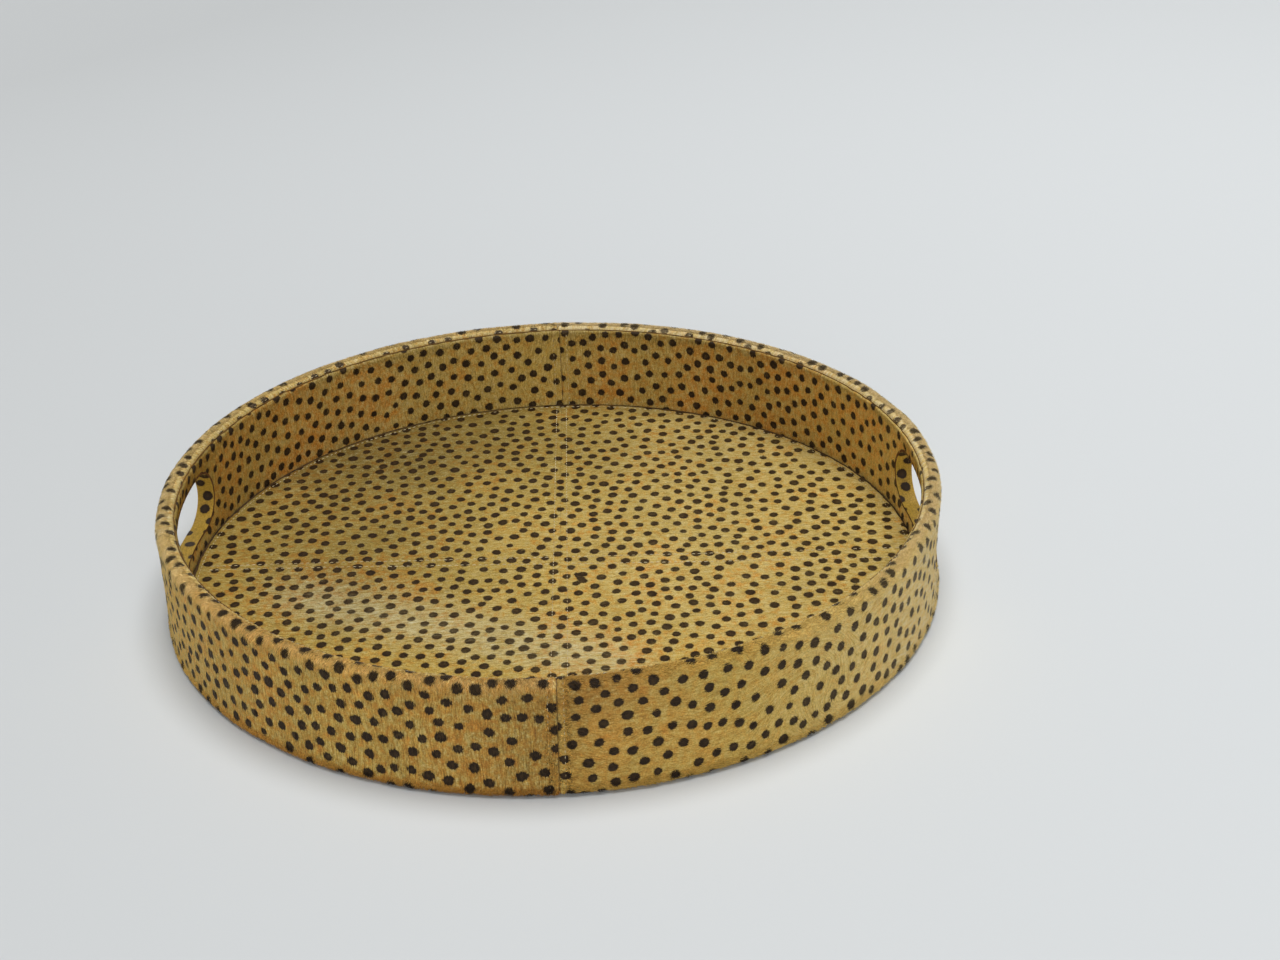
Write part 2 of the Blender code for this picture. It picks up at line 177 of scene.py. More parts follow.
# Half the distance between the rows of stitches beside a floor seam: at the middle, and its growth per metre
# towards the back, and towards the right
ROW_HALF = 3.4 * MM
ROW_GROWTH_BACK = -0.004
ROW_GROWTH_RIGHT = 0.009


def smooth(low, high, x):
    """0 below low, 1 above high and an even curve between, as in 3 t^2 - 2 t^3."""
    t = np.clip((x - low) / (high - low), 0, 1)
    return t * t * (3 - 2 * t)


def hump(x, width):
    """A bell curve: 1 at x = 0, falling off over the given width."""
    return np.exp(-((x / width) ** 2))


def swell(u, v, size, seed, waves=9):
    """Smooth ups and downs about size across, mostly within 1: a sum of plain waves in random directions."""
    draw = np.random.default_rng(seed)
    total = 0
    for turn, share, start in draw.uniform((0, 0.7, 0), (WHOLE_TURN, 1.5, WHOLE_TURN), (waves, 3)):
        total = total + np.sin((u * np.cos(turn) + v * np.sin(turn)) * share * WHOLE_TURN / size + start)
    return total / math.sqrt(waves)


def wander_line(points):
    """A cubic through or near the points, as a function."""
    along, aside = np.array(points).T
    return np.poly1d(np.polyfit(along, aside, 3))


BACK_TO_FRONT = wander_line(BACK_TO_FRONT_WANDER)
SIDE_TO_SIDE = wander_line(SIDE_TO_SIDE_WANDER)


def lay_on_wall(line, u, v, lift):
    """A point of the wall: round the tray by u, along the profile by v, and off it by lift."""
    r, z, out, up = (np.interp(v, line["way"], column) for column in line["path"])
    angle = u / line["radius"]
    reach = r + lift * out
    return np.stack([reach * np.cos(angle), reach * np.sin(angle), z + lift * up], -1)


lay_outer = partial(lay_on_wall, OUTER_PROFILE)
lay_lining = partial(lay_on_wall, LINING_PROFILE)


def lay_floor(u, v, lift):
    """A point of the floor: u and v are its x and y."""
    return np.stack([u, v, FLOOR_TOP + lift + 0 * u], -1)


def slot_loop(u):
    """A hand slot's edge by the way round it: y, height from its centre, and the way into the opening."""
    half_run = (SLOT_LENGTH - SLOT_HEIGHT) / 2
    radius = SLOT_HEIGHT / 2
    end = HALF_TURN * radius
    u = np.mod(u, 4 * half_run + 2 * end)
    turn = (np.clip(u - half_run, 0, end) + np.clip(u - 3 * half_run - end, 0, end)) / radius
    run = np.clip(u, 0, half_run) - np.clip(u - half_run - end, 0, 2 * half_run)
    run = run + np.clip(u - 3 * half_run - 2 * end, 0, half_run)
    return run + radius * np.sin(turn), -radius * np.cos(turn), -np.sin(turn), np.cos(turn)


# The way once round a hand slot
SLOT_ROUND = 2 * (SLOT_LENGTH - SLOT_HEIGHT) + HALF_TURN * SLOT_HEIGHT


def lay_slot(side):
    """The lay function of a slot's lining: u runs round the slot, v is the distance from the tray's axis."""
    def lay(u, v, lift):
        y, height, aside, up = slot_loop(u)
        y = y + lift * aside
        return np.stack([side * np.sqrt(v * v - y * y), y, SLOT_CENTRE + height + lift * up], -1)
    return lay


# The hides as sheets

def spaced(start, end, marks):
    """Grid lines from start to end, closer together near the marks."""
    way = np.linspace(start, end, MEASURE_POINTS)
    near = np.min([abs(way - mark) for mark in marks], 0)
    step = SEAM_STEP + (OPEN_STEP - SEAM_STEP) * smooth(0.6 * SEAM_BAND, 1.4 * SEAM_BAND, near)
    count = np.append(0, np.cumsum(np.diff(way) / step[1:]))
    return np.interp(np.linspace(0, count[-1], math.ceil(count[-1]) + 1), count, way)


def trim(u, v, inside):
    """Moves the grid points next to a trim line onto it. Tells which points are kept and which lie on it.

    inside(u, v) is the distance within the line, negative where the hide is cut away. A point moves when it
    lies within half a cell, measured across the line, so every cell side that crosses the line ends on it.
    """
    gap = inside(u, v)
    nudge = 0.05 * MM
    slope_u = (inside(u + nudge, v) - inside(u - nudge, v)) / (2 * nudge)
    slope_v = (inside(u, v + nudge) - inside(u, v - nudge)) / (2 * nudge)
    reach = np.maximum(abs(np.gradient(u, axis=1) * slope_u), abs(np.gradient(v, axis=0) * slope_v)) / 2
    near = abs(gap) <= reach
    return u - near * gap * slope_u, v - near * gap * slope_v, near | (gap > 0), near


def sheet_faces(kept, on_line):
    """Quads of a grid of points, and triangles where the trim line cuts one corner away."""
    index = np.arange(kept.size).reshape(kept.shape)
    cells = np.stack([index[:-1, :-1], index[:-1, 1:], index[1:, 1:], index[1:, :-1]], -1).reshape(-1, 4)
    stays = kept.ravel()[cells]
    quads = cells[stays.all(1)]
    corners = cells[stays.sum(1) == 3]
    triangles = corners[kept.ravel()[corners]].reshape(-1, 3)
    flat = on_line.ravel()
    return quads[~flat[quads].all(1)], triangles[~flat[triangles].all(1)]


def open_sides(faces):
    """The directed sides of faces that no other face shares."""
    sides = np.concatenate([np.stack([f, np.roll(f, -1, 1)], -1).reshape(-1, 2) for f in faces])
    most = sides.max() + 1
    forward = sides[:, 0] * most + sides[:, 1]
    backward = sides[:, 1] * most + sides[:, 0]
    return sides[~np.isin(backward, forward)]


# Where two faces of a hide meet at more than this, the edge between them is a sharp one
CREASE = math.radians(60)


def finish_mesh(name, places, faces, materials, face_material=None, sharp=HALF_TURN):
    """A smooth-shaded object on the body of the tray, made of arrays of points and of faces."""
    mesh = bpy.data.meshes.new(name)
    mesh.from_pydata(places, [], [face for part in faces for face in part.tolist()])
    for material in materials:
        mesh.materials.append(material)
    if face_material is not None:
        mesh.polygons.foreach_set("material_index", face_material.astype(np.int32))
    mesh.shade_smooth()
    mesh.set_sharp_from_angle(angle=sharp)
    piece = bpy.data.objects.new(name, mesh)
    bpy.context.scene.collection.objects.link(piece)
    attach(piece, "root")
    return piece


def point_value(mesh, name, values):
    """Stores one number, or four, for each point of a mesh."""
    kind, field = ("FLOAT", "value") if values.ndim == 1 else ("FLOAT_COLOR", "color")
    attribute = mesh.attributes.new(name, kind, "POINT")
    attribute.data.foreach_set(field, values.astype(np.float32).ravel())


def loop_map(mesh, name, places):
    """Stores a UV map given by a pair of numbers for each point."""
    corners = np.empty(len(mesh.loops), np.int32)
    mesh.loops.foreach_get("vertex_index", corners)
    layer = mesh.uv_layers.new(name=name)
    layer.uv.foreach_set("vector", places[corners].astype(np.float32).ravel())


def make_hide(name, hide, u, v, kept=None, on_line=None):
    """A sheet of hide, its hair side laid at the relief's height and its flesh side a thickness below."""
    if kept is None:
        kept = np.ones(u.shape, bool)
        on_line = ~kept
    quads, triangles = sheet_faces(kept, on_line)
    used = np.unique(np.concatenate([quads.ravel(), triangles.ravel()]))
    renumber = np.zeros(u.size, int)
    renumber[used] = np.arange(len(used))
    quads, triangles = renumber[quads], renumber[triangles]
    u, v = u.ravel()[used], v.ravel()[used]
    count = len(used)
    lift = hide["relief"](u, v)
    hair_side = hide["lay"](u, v, lift)
    flesh_side = hide["lay"](u, v, np.full(count, -HIDE))
    a, b, c = hair_side[quads[0, :3]]
    up = hide["lay"](u[:1], v[:1], lift[:1] + MM)[0] - hair_side[0]
    if np.cross(b - a, c - a) @ up < 0:
        quads, triangles = quads[:, ::-1], triangles[:, ::-1]
    sides = open_sides([quads, triangles])
    edge = np.stack([sides[:, 1], sides[:, 0], sides[:, 0] + count, sides[:, 1] + count], -1)
    faces = [quads, triangles, quads[:, ::-1] + count, triangles[:, ::-1] + count, edge]
    of_hair = len(quads) + len(triangles)
    face_material = np.append(np.zeros(of_hair), np.ones(of_hair + len(edge)))
    materials = [hide["hair"], hide["flesh"]]
    places = np.concatenate([hair_side, flesh_side])
    piece = finish_mesh(name, places, faces, materials, face_material, CREASE)
    way = np.stack(hide["hair_way"](u, v), -1)
    point_value(piece.data, "spot", np.tile(hide["spot"](u, v) / MM, 2))
    point_value(piece.data, "dye", np.tile(dye_of(hide, u, v), (2, 1)))
    loop_map(piece.data, "hair", np.tile(way, (2, 1)))
    return piece


def dye_of(hide, u, v):
    """The dye's four numbers at each point: shade, warmth, paleness and 1."""
    return np.stack([column + 0 * u for column in (*hide["dye"](u, v), 1)], -1)


# The printed spots

# The clear space round a spot at the start, the distance within which spots push each other apart, by what
# share and how many times, and how many there are on a square metre
SPOT_SPACING = 6.0 * MM
SPOT_REACH = 10.5 * MM
SPOT_PUSH = 0.2
SPOT_PUSHES = 3
SPOTS_PER_AREA = 1.33e4
# How unlike the spots are: spread and limits of their size, the same of their length over width, spread of
# the angle they lie at in radians, and how far their corners stand out at most
SPOT_SIZE_SPREAD, SPOT_SIZES = 0.075, (0.8, 1.35)
SPOT_OVAL, SPOT_OVAL_SPREAD, SPOT_OVALS = 1.02, 0.035, (0.95, 1.15)
SPOT_TURN_SPREAD = 0.4
SPOT_CORNER = 0.06
# Spots are sorted into cells to find them by, and nothing asks how far off they are beyond this
SPOT_CELL = 4.0 * MM
FAR_FROM_SPOTS = 5 * MM


def strew(low, high, seed, radius, lean=(1.0, 0.0), crowd=1.0, unlike=1.0):
    """Printed spots over a flat stretch of hide.

    Random places are kept where they lie a spacing clear of those before, and then spots nearer together
    than their reach push each other apart a few times. Each spot is a little oval with three faint corners.
    lean is how much longer than wide the spots are on the whole, and the angle at which they lie. crowd is
    how much denser than usual they stand, and unlike how much they differ from each other in shape.
    """
    draw = np.random.default_rng(seed)
    size = np.subtract(high, low)
    want = int(size[0] * size[1] * SPOTS_PER_AREA * crowd)
    places = np.empty((0, 2))
    clear = SPOT_SPACING
    while len(places) < want:
        for place in draw.uniform(low, high, (want, 2)):
            if len(places) == 0 or np.hypot(*(places - place).T).min() > clear:
                places = np.vstack([places, place])
        clear *= 0.99
    places = places[:want]
    for _ in range(SPOT_PUSHES):
        away = places[:, None] - places[None]
        gap = np.hypot(away[..., 0], away[..., 1]) + np.eye(want)
        force = SPOT_PUSH * np.clip(SPOT_REACH - gap, 0, None) / gap * (1 - np.eye(want))
        places = places + (away * force[..., None]).sum(1)
    column, row = (np.floor((places - low) / SPOT_CELL).astype(int) + 2).T
    table = np.full((np.ceil(size / SPOT_CELL) + 5).astype(int), -1)
    column, row = np.clip(column, 0, table.shape[0] - 1), np.clip(row, 0, table.shape[1] - 1)
    table[column, row] = np.arange(want)
    turn = draw.normal(lean[1], SPOT_TURN_SPREAD * unlike, want)
    girth = np.clip(draw.normal(1, SPOT_SIZE_SPREAD, want), *SPOT_SIZES)
    oval = np.clip(draw.normal(SPOT_OVAL, SPOT_OVAL_SPREAD * unlike, want), *SPOT_OVALS)
    corner = draw.uniform(0, SPOT_CORNER * unlike, want)
    return {
        "low": np.array(low), "table": table, "u": places[:, 0], "v": places[:, 1], "radius": radius * girth,
        "stretch": math.sqrt(lean[0]) * oval, "turn": turn, "corner": corner,
        "corner_turn": draw.uniform(0, WHOLE_TURN, want),
    }


def outside_spots(spots, u, v):
    """How far each point lies outside the nearest spot, negative within one. Looks two cells each way."""
    column = np.floor((u - spots["low"][0]) / SPOT_CELL).astype(int) + 2
    row = np.floor((v - spots["low"][1]) / SPOT_CELL).astype(int) + 2
    most = np.array(spots["table"].shape) - 1
    best = np.full(u.shape, FAR_FROM_SPOTS)
    for i in range(-2, 3):
        for j in range(-2, 3):
            spot = spots["table"][np.clip(column + i, 0, most[0]), np.clip(row + j, 0, most[1])]
            du, dv = u - spots["u"][spot], v - spots["v"][spot]
            turn, stretch = spots["turn"][spot], spots["stretch"][spot]
            along = (du * np.cos(turn) + dv * np.sin(turn)) / stretch
            across = (dv * np.cos(turn) - du * np.sin(turn)) * stretch
            angle = 3 * np.arctan2(across, along) + spots["corner_turn"][spot]
            edge = spots["radius"][spot] * (1 + spots["corner"][spot] * np.cos(angle))
            gap = np.hypot(along, across) - edge
            best = np.minimum(best, np.where(spot < 0, FAR_FROM_SPOTS, gap))
    return best


def outside_smear(u, v, start, end, start_radius, end_radius):
    """How far each point lies outside a smear of print that widens from one place to another."""
    way = np.subtract(end, start)
    share = np.clip(((u - start[0]) * way[0] + (v - start[1]) * way[1]) / (way @ way), 0, 1)
    gap = np.hypot(u - start[0] - share * way[0], v - start[1] - share * way[1])
    return gap - (start_radius + share * (end_radius - start_radius))


# Seams, slots and the lie of the hair in flat coordinates

# Rows of stitches: beside a wall's seam, from the floor's edge, and from the rim's edge
STITCH_OFFSET = 3.75 * MM
FLOOR_STITCH_INSET = 3.1 * MM
RIM_STITCH_INSET = 1.0 * MM


def seam_line(line, seam, v):
    """Where a wall's upright seam stands at each v, as a u."""
    angle, lean = seam
    return line["radius"] * (angle + lean * (v / line["length"] - 0.5))


def past_seam(line, seam, u, v):
    """How far a point of the wall lies past a seam, the way that u runs."""
    away = (u - seam_line(line, seam, v)) / line["radius"]
    return (np.mod(away + HALF_TURN, WHOLE_TURN) - HALF_TURN) * line["radius"]


def outside_slot(line, centre_v, u, v):
    """How far a point of the wall lies outside the hand slot, which is a bar with round ends."""
    y = line["radius"] * np.sin(u / line["radius"])
    past_end = np.clip(abs(y) - (SLOT_LENGTH - SLOT_HEIGHT) / 2, 0, None)
    return np.hypot(past_end, v - centre_v) - SLOT_HEIGHT / 2


def seam_relief(gap, row=STITCH_OFFSET):
    """A hide's height beside its edge: low at it, swollen behind it, drawn down by the row of stitches."""
    gap = abs(gap)
    low = 0.4 * MM * hump(gap, 0.6 * MM)
    swollen = 0.16 * MM * hump(gap - 1.9 * MM, MM)
    drawn = 0.18 * MM * hump(gap - row, 0.6 * MM)
    return swollen - low - drawn


def swells(u, v, broad, fine, seed):
    """A hide's own unevenness: swells of 0.1 mm about broad across, and of half that about fine across."""
    return 0.1 * MM * swell(u, v, broad, seed) + 0.05 * MM * swell(u, v, fine, seed + 1)


def wall_relief(line, seams, slot_v, u, v):
    """What the wall's hides share: the relief of both seams, and the edge drawn in round the slot."""
    beside = sum(seam_relief(past_seam(line, seam, u, v)) for seam in seams.values())
    return beside - SLOT_DRAW * hump(outside_slot(line, slot_v, u, v), SLOT_DRAW_REACH)


def outer_relief(u, v):
    """Height of the outer hide: swells, seams, a raised edge right of the front one, rim and slot edges."""
    front = past_seam(OUTER_PROFILE, OUTER_SEAMS["front"], u, v)
    raised = 0.15 * MM * hump(front - 1.0 * MM, 0.7 * MM) * (front > 0)
    rim_edge = 0.35 * MM * hump(OUTER_END - v, 0.8 * MM)
    waves = swells(u, v, 45 * MM, 9 * MM, 3) * smooth(0, WALL_START, v)
    return waves + wall_relief(OUTER_PROFILE, OUTER_SEAMS, OUTER_SLOT_V, u, v) + raised - rim_edge


def lining_relief(u, v):
    """Height of the lining: swells, seams, a lip at the rim's seam on the right, rim and slot edges."""
    lip = 0.3 * MM * hump(v - 0.9 * MM, 0.8 * MM) * smooth(-0.2, 0.3, np.cos(u / LINING_RADIUS))
    rim_edge = 0.3 * MM * hump(v, 0.5 * MM)
    waves = swells(u, v, 40 * MM, 8 * MM, 13)
    return waves + wall_relief(LINING_PROFILE, LINING_SEAMS, LINING_SLOT_V, u, v) + lip - rim_edge


def floor_relief(u, v):
    """Height of the floor hide: swells, the two seams with their rows of stitches, and a low outer edge."""
    across = seam_relief(u - BACK_TO_FRONT(v), ROW_HALF + ROW_GROWTH_BACK * v)
    along = seam_relief(v - SIDE_TO_SIDE(u), ROW_HALF + ROW_GROWTH_RIGHT * u)
    gap = FLOOR_RADIUS - np.hypot(u, v)
    edge = seam_relief(gap, FLOOR_STITCH_INSET) - 0.3 * MM * hump(gap, 1.2 * MM)
    return swells(u, v, 50 * MM, 9 * MM, 23) + 0.2 * (across + along) + edge


def slot_relief(u, v):
    """Height of a slot's lining: faint swells alone."""
    return 0.06 * MM * swell(u, v, 14 * MM, 33)


def whorl(u, v, centre, size, turn):
    """Turns flat places round a centre by an angle that falls off away from it, as hair grows in a whorl."""
    du, dv = u - centre[0], v - centre[1]
    angle = turn * hump(np.hypot(du, dv), size)
    turned_u = centre[0] + du * np.cos(angle) - dv * np.sin(angle)
    turned_v = centre[1] + du * np.sin(angle) + dv * np.cos(angle)
    return turned_u, turned_v


def bent(across, along, size, bend, seed):
    """Lets the hair's lines wander sideways by bend over stretches of the given size."""
    return across + bend * swell(across, along, size, seed), along


# The way of the hair in each hide: a flat place's distance across the hair's lines, and along them

def outer_left_way(u, v):
    """Down the wall all the way."""
    return bent(u, -v, 60 * MM, 1.0 * MM, 41)


# A whorl of hair at the front right: its centre, its size and how far it turns the hair, in radians
WHORL = (RADIUS * math.radians(-50), 30 * MM)
WHORL_SIZE = 24 * MM
WHORL_TURN = 2.2


def outer_right_way(u, v):
    """Level on the wall, with the whorl, and turning upright over the rim."""
    turned_u, turned_v = whorl(u, v, WHORL, WHORL_SIZE, WHORL_TURN)
    upright = smooth(WALL_END, WALL_END + 8 * MM, v)
    across = turned_v * (1 - upright) + turned_u * upright
    return bent(across, turned_u * (1 - upright) - v * upright, 45 * MM, 1.5 * MM, 42)


def lining_way(u, v):
    """Down the wall, from the rim to the floor."""
    return bent(u, v, 45 * MM, 1.5 * MM, 43)


def floor_way(u, v):
    """From left to right."""
    return bent(v, u, 80 * MM, 3 * MM, 44)


def slot_way(u, v):
    """Round the slot."""
    return bent(v, u, 20 * MM, 0.5 * MM, 45)


# The dye: how light, how warm and how pale each place of a hide is

def between(angle, patches):
    """Shade, warmth and paleness round the tray, running evenly from one row of a table to the next."""
    at, *values = np.array(patches, float).T
    return [np.interp(np.degrees(angle), at, value) for value in values]


def round_by(degrees):
    """The outer hide's u at an angle round the tray."""
    return RADIUS * math.radians(degrees)


def blot(u, v, centre_u, centre_v, size, squeeze=1.0):
    """A soft patch, 1 in its middle. It is round, or shorter along v by squeeze."""
    return hump(np.hypot(u - centre_u, squeeze * (v - centre_v)), size)


# Dyes round the tray: the angle in degrees, and the shade, warmth and paleness there
OUTER_RIGHT_DYE = [
    (-88, 0.82, 0.38, 0.01), (-65, 0.95, 0.12, 0.02), (-45, 1.15, 0.02, 0.17), (-25, 1.38, 0, 0.39),
    (-10, 1.3, 0, 0.43), (45, 1.16, 0, 0.43), (88, 1.26, 0.05, 0.48),
]
OUTER_LEFT_DYE = [
    (90, 0.9, 0.2, 0.06), (150, 0.96, 0.1, 0.04), (180, 1.0, 0, 0.12), (195, 1.14, 0.05, 0.15),
    (205, 1.16, 0.18, 0.06), (225, 0.96, 0.38, 0), (245, 0.92, 0.3, 0), (268, 0.72, 0.5, 0),
]
LINING_DYE = [
    (-90, 0.9, 0.3, 0), (0, 1.4, 0.15, 0.12), (15, 1.55, 0.2, 0.12), (30, 1.2, 0.4, 0.06),
    (50, 0.87, 0.46, 0.04), (70, 0.84, 0.36, 0.04), (85, 0.85, 0.3, 0.04), (89.6, 0.88, 0.2, 0.05),
    (89.8, 0.95, 0.08, 0.05), (110, 0.86, 0.12, 0.05), (130, 0.9, 0.38, 0.06), (150, 0.98, 0.52, 0.04),
    (170, 0.92, 0.3, 0), (270, 0.9, 0.3, 0),
]


def outer_right_dye(u, v):
    """Orange ochre at the front seam, yellow after it, and a greyer cream from the front right on.

    Near the seam it is browner at the top. Towards the back the rim has painted light, lighter and paler, on
    its outer side, and painted shade, darker and warmer, on its inner side, which dulls the lamp's highlight
    there.
    """
    shade, warmth, pale = between(u / RADIUS, OUTER_RIGHT_DYE)
    top = hump(v - WALL_END, 14 * MM) * hump(u - round_by(-84), 28 * MM)
    back = smooth(0, round_by(45), u)
    # Painted light on the rim's outer side, and painted shade on its inner side that dulls the lamp's
    # highlight.
    outside = hump(v - WALL_END - 2 * MM, 5 * MM) * back
    inside = hump(v - RIM_MIDDLE - 3 * MM, 3.5 * MM) * back
    shade = shade - 0.16 * top + 0.25 * outside - 0.25 * inside
    warmth = warmth + 0.2 * top + 0.1 * inside
    return shade, warmth, pale + 0.1 * outside - 0.1 * inside


def outer_left_dye(u, v):
    """Pale at the far left, orange brown by the front seam, reddest along the foot and creamy on the rim,
    with painted shade on the rim's inner side.
    """
    shade, warmth, pale = between(u / RADIUS, OUTER_LEFT_DYE)
    front = smooth(round_by(200), round_by(230), u)
    foot = hump(v - WALL_START, 2.4 * MM) * front
    rim = hump(v - RIM_MIDDLE + 2 * MM, 5 * MM) * (0.75 + 0.25 * swell(u, v, 14 * MM, 61))
    # Painted shade on the rim's inner side: darker and a little less pale.
    inside = smooth(OUTER_END - 5.5 * MM, OUTER_END - 1.5 * MM, v)
    shade = (shade - 0.06 * foot + 0.4 * rim) * (1 - 0.3 * inside)
    warmth = warmth + 0.5 * foot - 0.2 * rim * (1 - front)
    return shade, warmth, (pale + 0.36 * rim * (1 - 0.6 * front)) * (1 - 0.2 * inside)


def lining_dye(u, v):
    """More orange than the rest on the whole and brownest at the left, with painted shade in the groove over
    the floor and on the rounded lip at the top.
    """
    angle = np.mod(u / LINING_RADIUS + QUARTER_TURN, WHOLE_TURN) - QUARTER_TURN
    shade, warmth, pale = between(angle, LINING_DYE)
    # Painted shade in the groove over the floor, stronger on the left.
    groove = hump(LINING_END - v, 1.1 * MM) * (0.5 - 0.25 * np.cos(angle))
    # Painted shade on the rounded lip at the top, less orange too.
    lip = hump(v, 3 * MM)
    return shade * (1 - groove) * (1 - 0.35 * lip), warmth + 0.3 * groove - 0.25 * lip, pale


def floor_dye(u, v):
    """Dark olive at the back left and bright to the right, with a pale band and an orange band front left;
    the pale band is partly the hide's own colour and partly painted sheen.

    Painted shade darkens it towards the back wall, and darkens and browns the rim of the floor in the groove
    under the wall, most of all on the left.
    """
    left = smooth(160 * MM, -110 * MM, u)
    # The last term is painted shade towards the back wall.
    dark = (0.2 + 0.34 * smooth(-120 * MM, 120 * MM, v)) * left + 0.16 * smooth(50 * MM, 130 * MM, v)
    dark = dark - 0.1 * blot(u, v, -20 * MM, 50 * MM, 45 * MM, 0.5) + 0.09 * smooth(60 * MM, 120 * MM, u)
    dark = dark + 0.1 * blot(u, v, -95 * MM, 0, 60 * MM) + 0.06 * blot(u, v, -115 * MM, -25 * MM, 45 * MM)
    band = v + 33 * MM + 0.43 * (u + 123 * MM)
    reach = smooth(-160 * MM, -110 * MM, u) * smooth(70 * MM, 15 * MM, u)
    # Partly the hide's own colour and partly painted sheen: a pale band where the hair's lie turns.
    sheen = hump(band, 22 * MM) * reach
    orange = 0.22 * hump(band - 28 * MM, 15 * MM) * reach + 0.3 * blot(u, v, 30 * MM, -140 * MM, 45 * MM)
    # Painted shade in the groove under the wall, browner and strongest on the left.
    groove = hump(FLOOR_RADIUS - np.hypot(u, v), 1.1 * MM) * (0.35 + 0.35 * left)
    warmth = orange + 0.4 * groove + 0.1 * smooth(-30 * MM, -120 * MM, u)
    right = smooth(-20 * MM, 90 * MM, u) * smooth(-130 * MM, -60 * MM, v)
    pale = 0.26 * sheen + 0.11 * right + 0.07 * blot(u, v, 0, 0, 65 * MM, 0.7)
    return (1 - dark) * (1 - groove), warmth, pale


def slot_dye(u, v):
    """The slots' lining has one dye all over."""
    return 1, 0, 0


# Materials

# The print where the hair has worn it thin in a spot's middle, and its stain round the spot
PRINT_CORE = "#3B2A16"
PRINT_STAIN = "#6B4A22"


def linear(code):
    """The linear colour of an sRGB hex code, as red, green, blue and 1."""
    parts = [int(code[i:i + 2], 16) / 255 for i in (1, 3, 5)]
    return [p / 12.92 if p <= 0.04045 else ((p + 0.055) / 1.055) ** 2.4 for p in parts] + [1]


def node(tree, kind, inputs=(), **settings):
    """Adds a node, sets it up and fills its inputs with numbers or links. Gives its outputs."""
    made = tree.nodes.new("ShaderNode" + kind)
    for setting, value in settings.items():
        setattr(made, setting, value)
    for name, value in dict(inputs).items():
        if isinstance(value, bpy.types.NodeSocket):
            tree.links.new(value, made.inputs[name])
        else:
            made.inputs[name].default_value = value
    return made.outputs


def new_material(name, roughness, gloss=0.5, sheen=0.0, metallic=0.0):
    """A material, its node tree and its shader's inputs, with what is even all over set on the shader."""
    material = bpy.data.materials.new(name)
    material.use_nodes = True
    tree = material.node_tree
    tree.nodes.clear()
    shader = tree.nodes.new("ShaderNodeBsdfPrincipled")
    output = tree.nodes.new("ShaderNodeOutputMaterial")
    tree.links.new(shader.outputs[0], output.inputs[0])
    shader.inputs["Roughness"].default_value = roughness
    shader.inputs["Specular IOR Level"].default_value = gloss
    shader.inputs["Sheen Weight"].default_value = sheen
    shader.inputs["Metallic"].default_value = metallic
    return material, tree, shader.inputs


def noise_of(tree, place, size, detail=2.0):
    """Noise about 0, its humps of one size in metres, or of three along the place's three axes."""
    per_metre = (1 / np.broadcast_to(size, 3)).tolist()
    scaled = node(tree, "VectorMath", {0: place, 1: per_metre}, operation="MULTIPLY")[0]
    noise = node(tree, "TexNoise", {"Vector": scaled, "Scale": 1.0, "Detail": detail})[0]
    return node(tree, "Math", {0: noise, 1: 0.5}, operation="SUBTRACT")[0]


def weighed(tree, *terms):
    """The sum of number and weight pairs, where either may be a link."""
    total = 0.0
    for term, weight in terms:
        total = node(tree, "Math", {0: term, 1: weight, 2: total}, operation="MULTIPLY_ADD")[0]
    return total


def mixed(tree, share, first, second):
    """Two colours mixed by a share from 0 to 1."""
    return node(tree, "Mix", {0: share, 6: first, 7: second}, data_type="RGBA")[2]


def ramp(tree, value, start, end):
    """0 at start, 1 at end and an even curve between."""
    inputs = {"Value": value, "From Min": start, "From Max": end}
    return node(tree, "MapRange", inputs, interpolation_type="SMOOTHSTEP")[0]


def toned(tree, shader, colour, other, share, tone):
    """Sets a base colour that goes from one dye to another by a share and is lighter or darker by a tone."""
    mixed_colour = mixed(tree, share, linear(colour), linear(other))
    scaled = node(tree, "VectorMath", {0: mixed_colour, 3: tone}, operation="SCALE")[0]
    tree.links.new(scaled, shader["Base Color"])


def bumped(tree, shader, height, distance, strength=1.0):
    """Raises the surface by a height times a distance in metres."""
    bump = node(tree, "Bump", {"Strength": strength, "Distance": distance, "Height": height})[0]
    tree.links.new(bump, shader["Normal"])


def dyed(tree, ground, warm, pale, print_colour, tone, spot_edge, dye, fuzz):
    """The dyed ground with its print: a warm part, a tone, a pale part that fuzz breaks up, stain and spots.

    A spot has a brown stain round it where spot_edge, in millimetres, goes from 0.9 to 0.15, and its ink
    comes in from 0.4 to -0.2, thinner where the hair is pale.
    """
    shade, warmth, paleness = node(tree, "SeparateColor", {0: dye})[:3]
    colour = mixed(tree, warmth, linear(ground), linear(warm))
    light = node(tree, "Math", {0: tone, 1: shade}, operation="MULTIPLY")[0]
    colour = node(tree, "VectorMath", {0: colour, 3: light}, operation="SCALE")[0]
    cover = weighed(tree, (paleness, 1.0), (fuzz, paleness))
    cover = node(tree, "Clamp", {0: cover})[0]
    colour = mixed(tree, cover, colour, linear(pale))
    stain = ramp(tree, spot_edge, 0.9, 0.15)
    colour = mixed(tree, weighed(tree, (stain, 0.22)), colour, linear(PRINT_STAIN))
    core = ramp(tree, spot_edge, 0.4, -0.2)
    bare = weighed(tree, (cover, -0.35), (1.0, 1.0))
    hold = node(tree, "Math", {0: core, 1: bare}, operation="MULTIPLY")[0]
    return mixed(tree, hold, colour, print_colour)


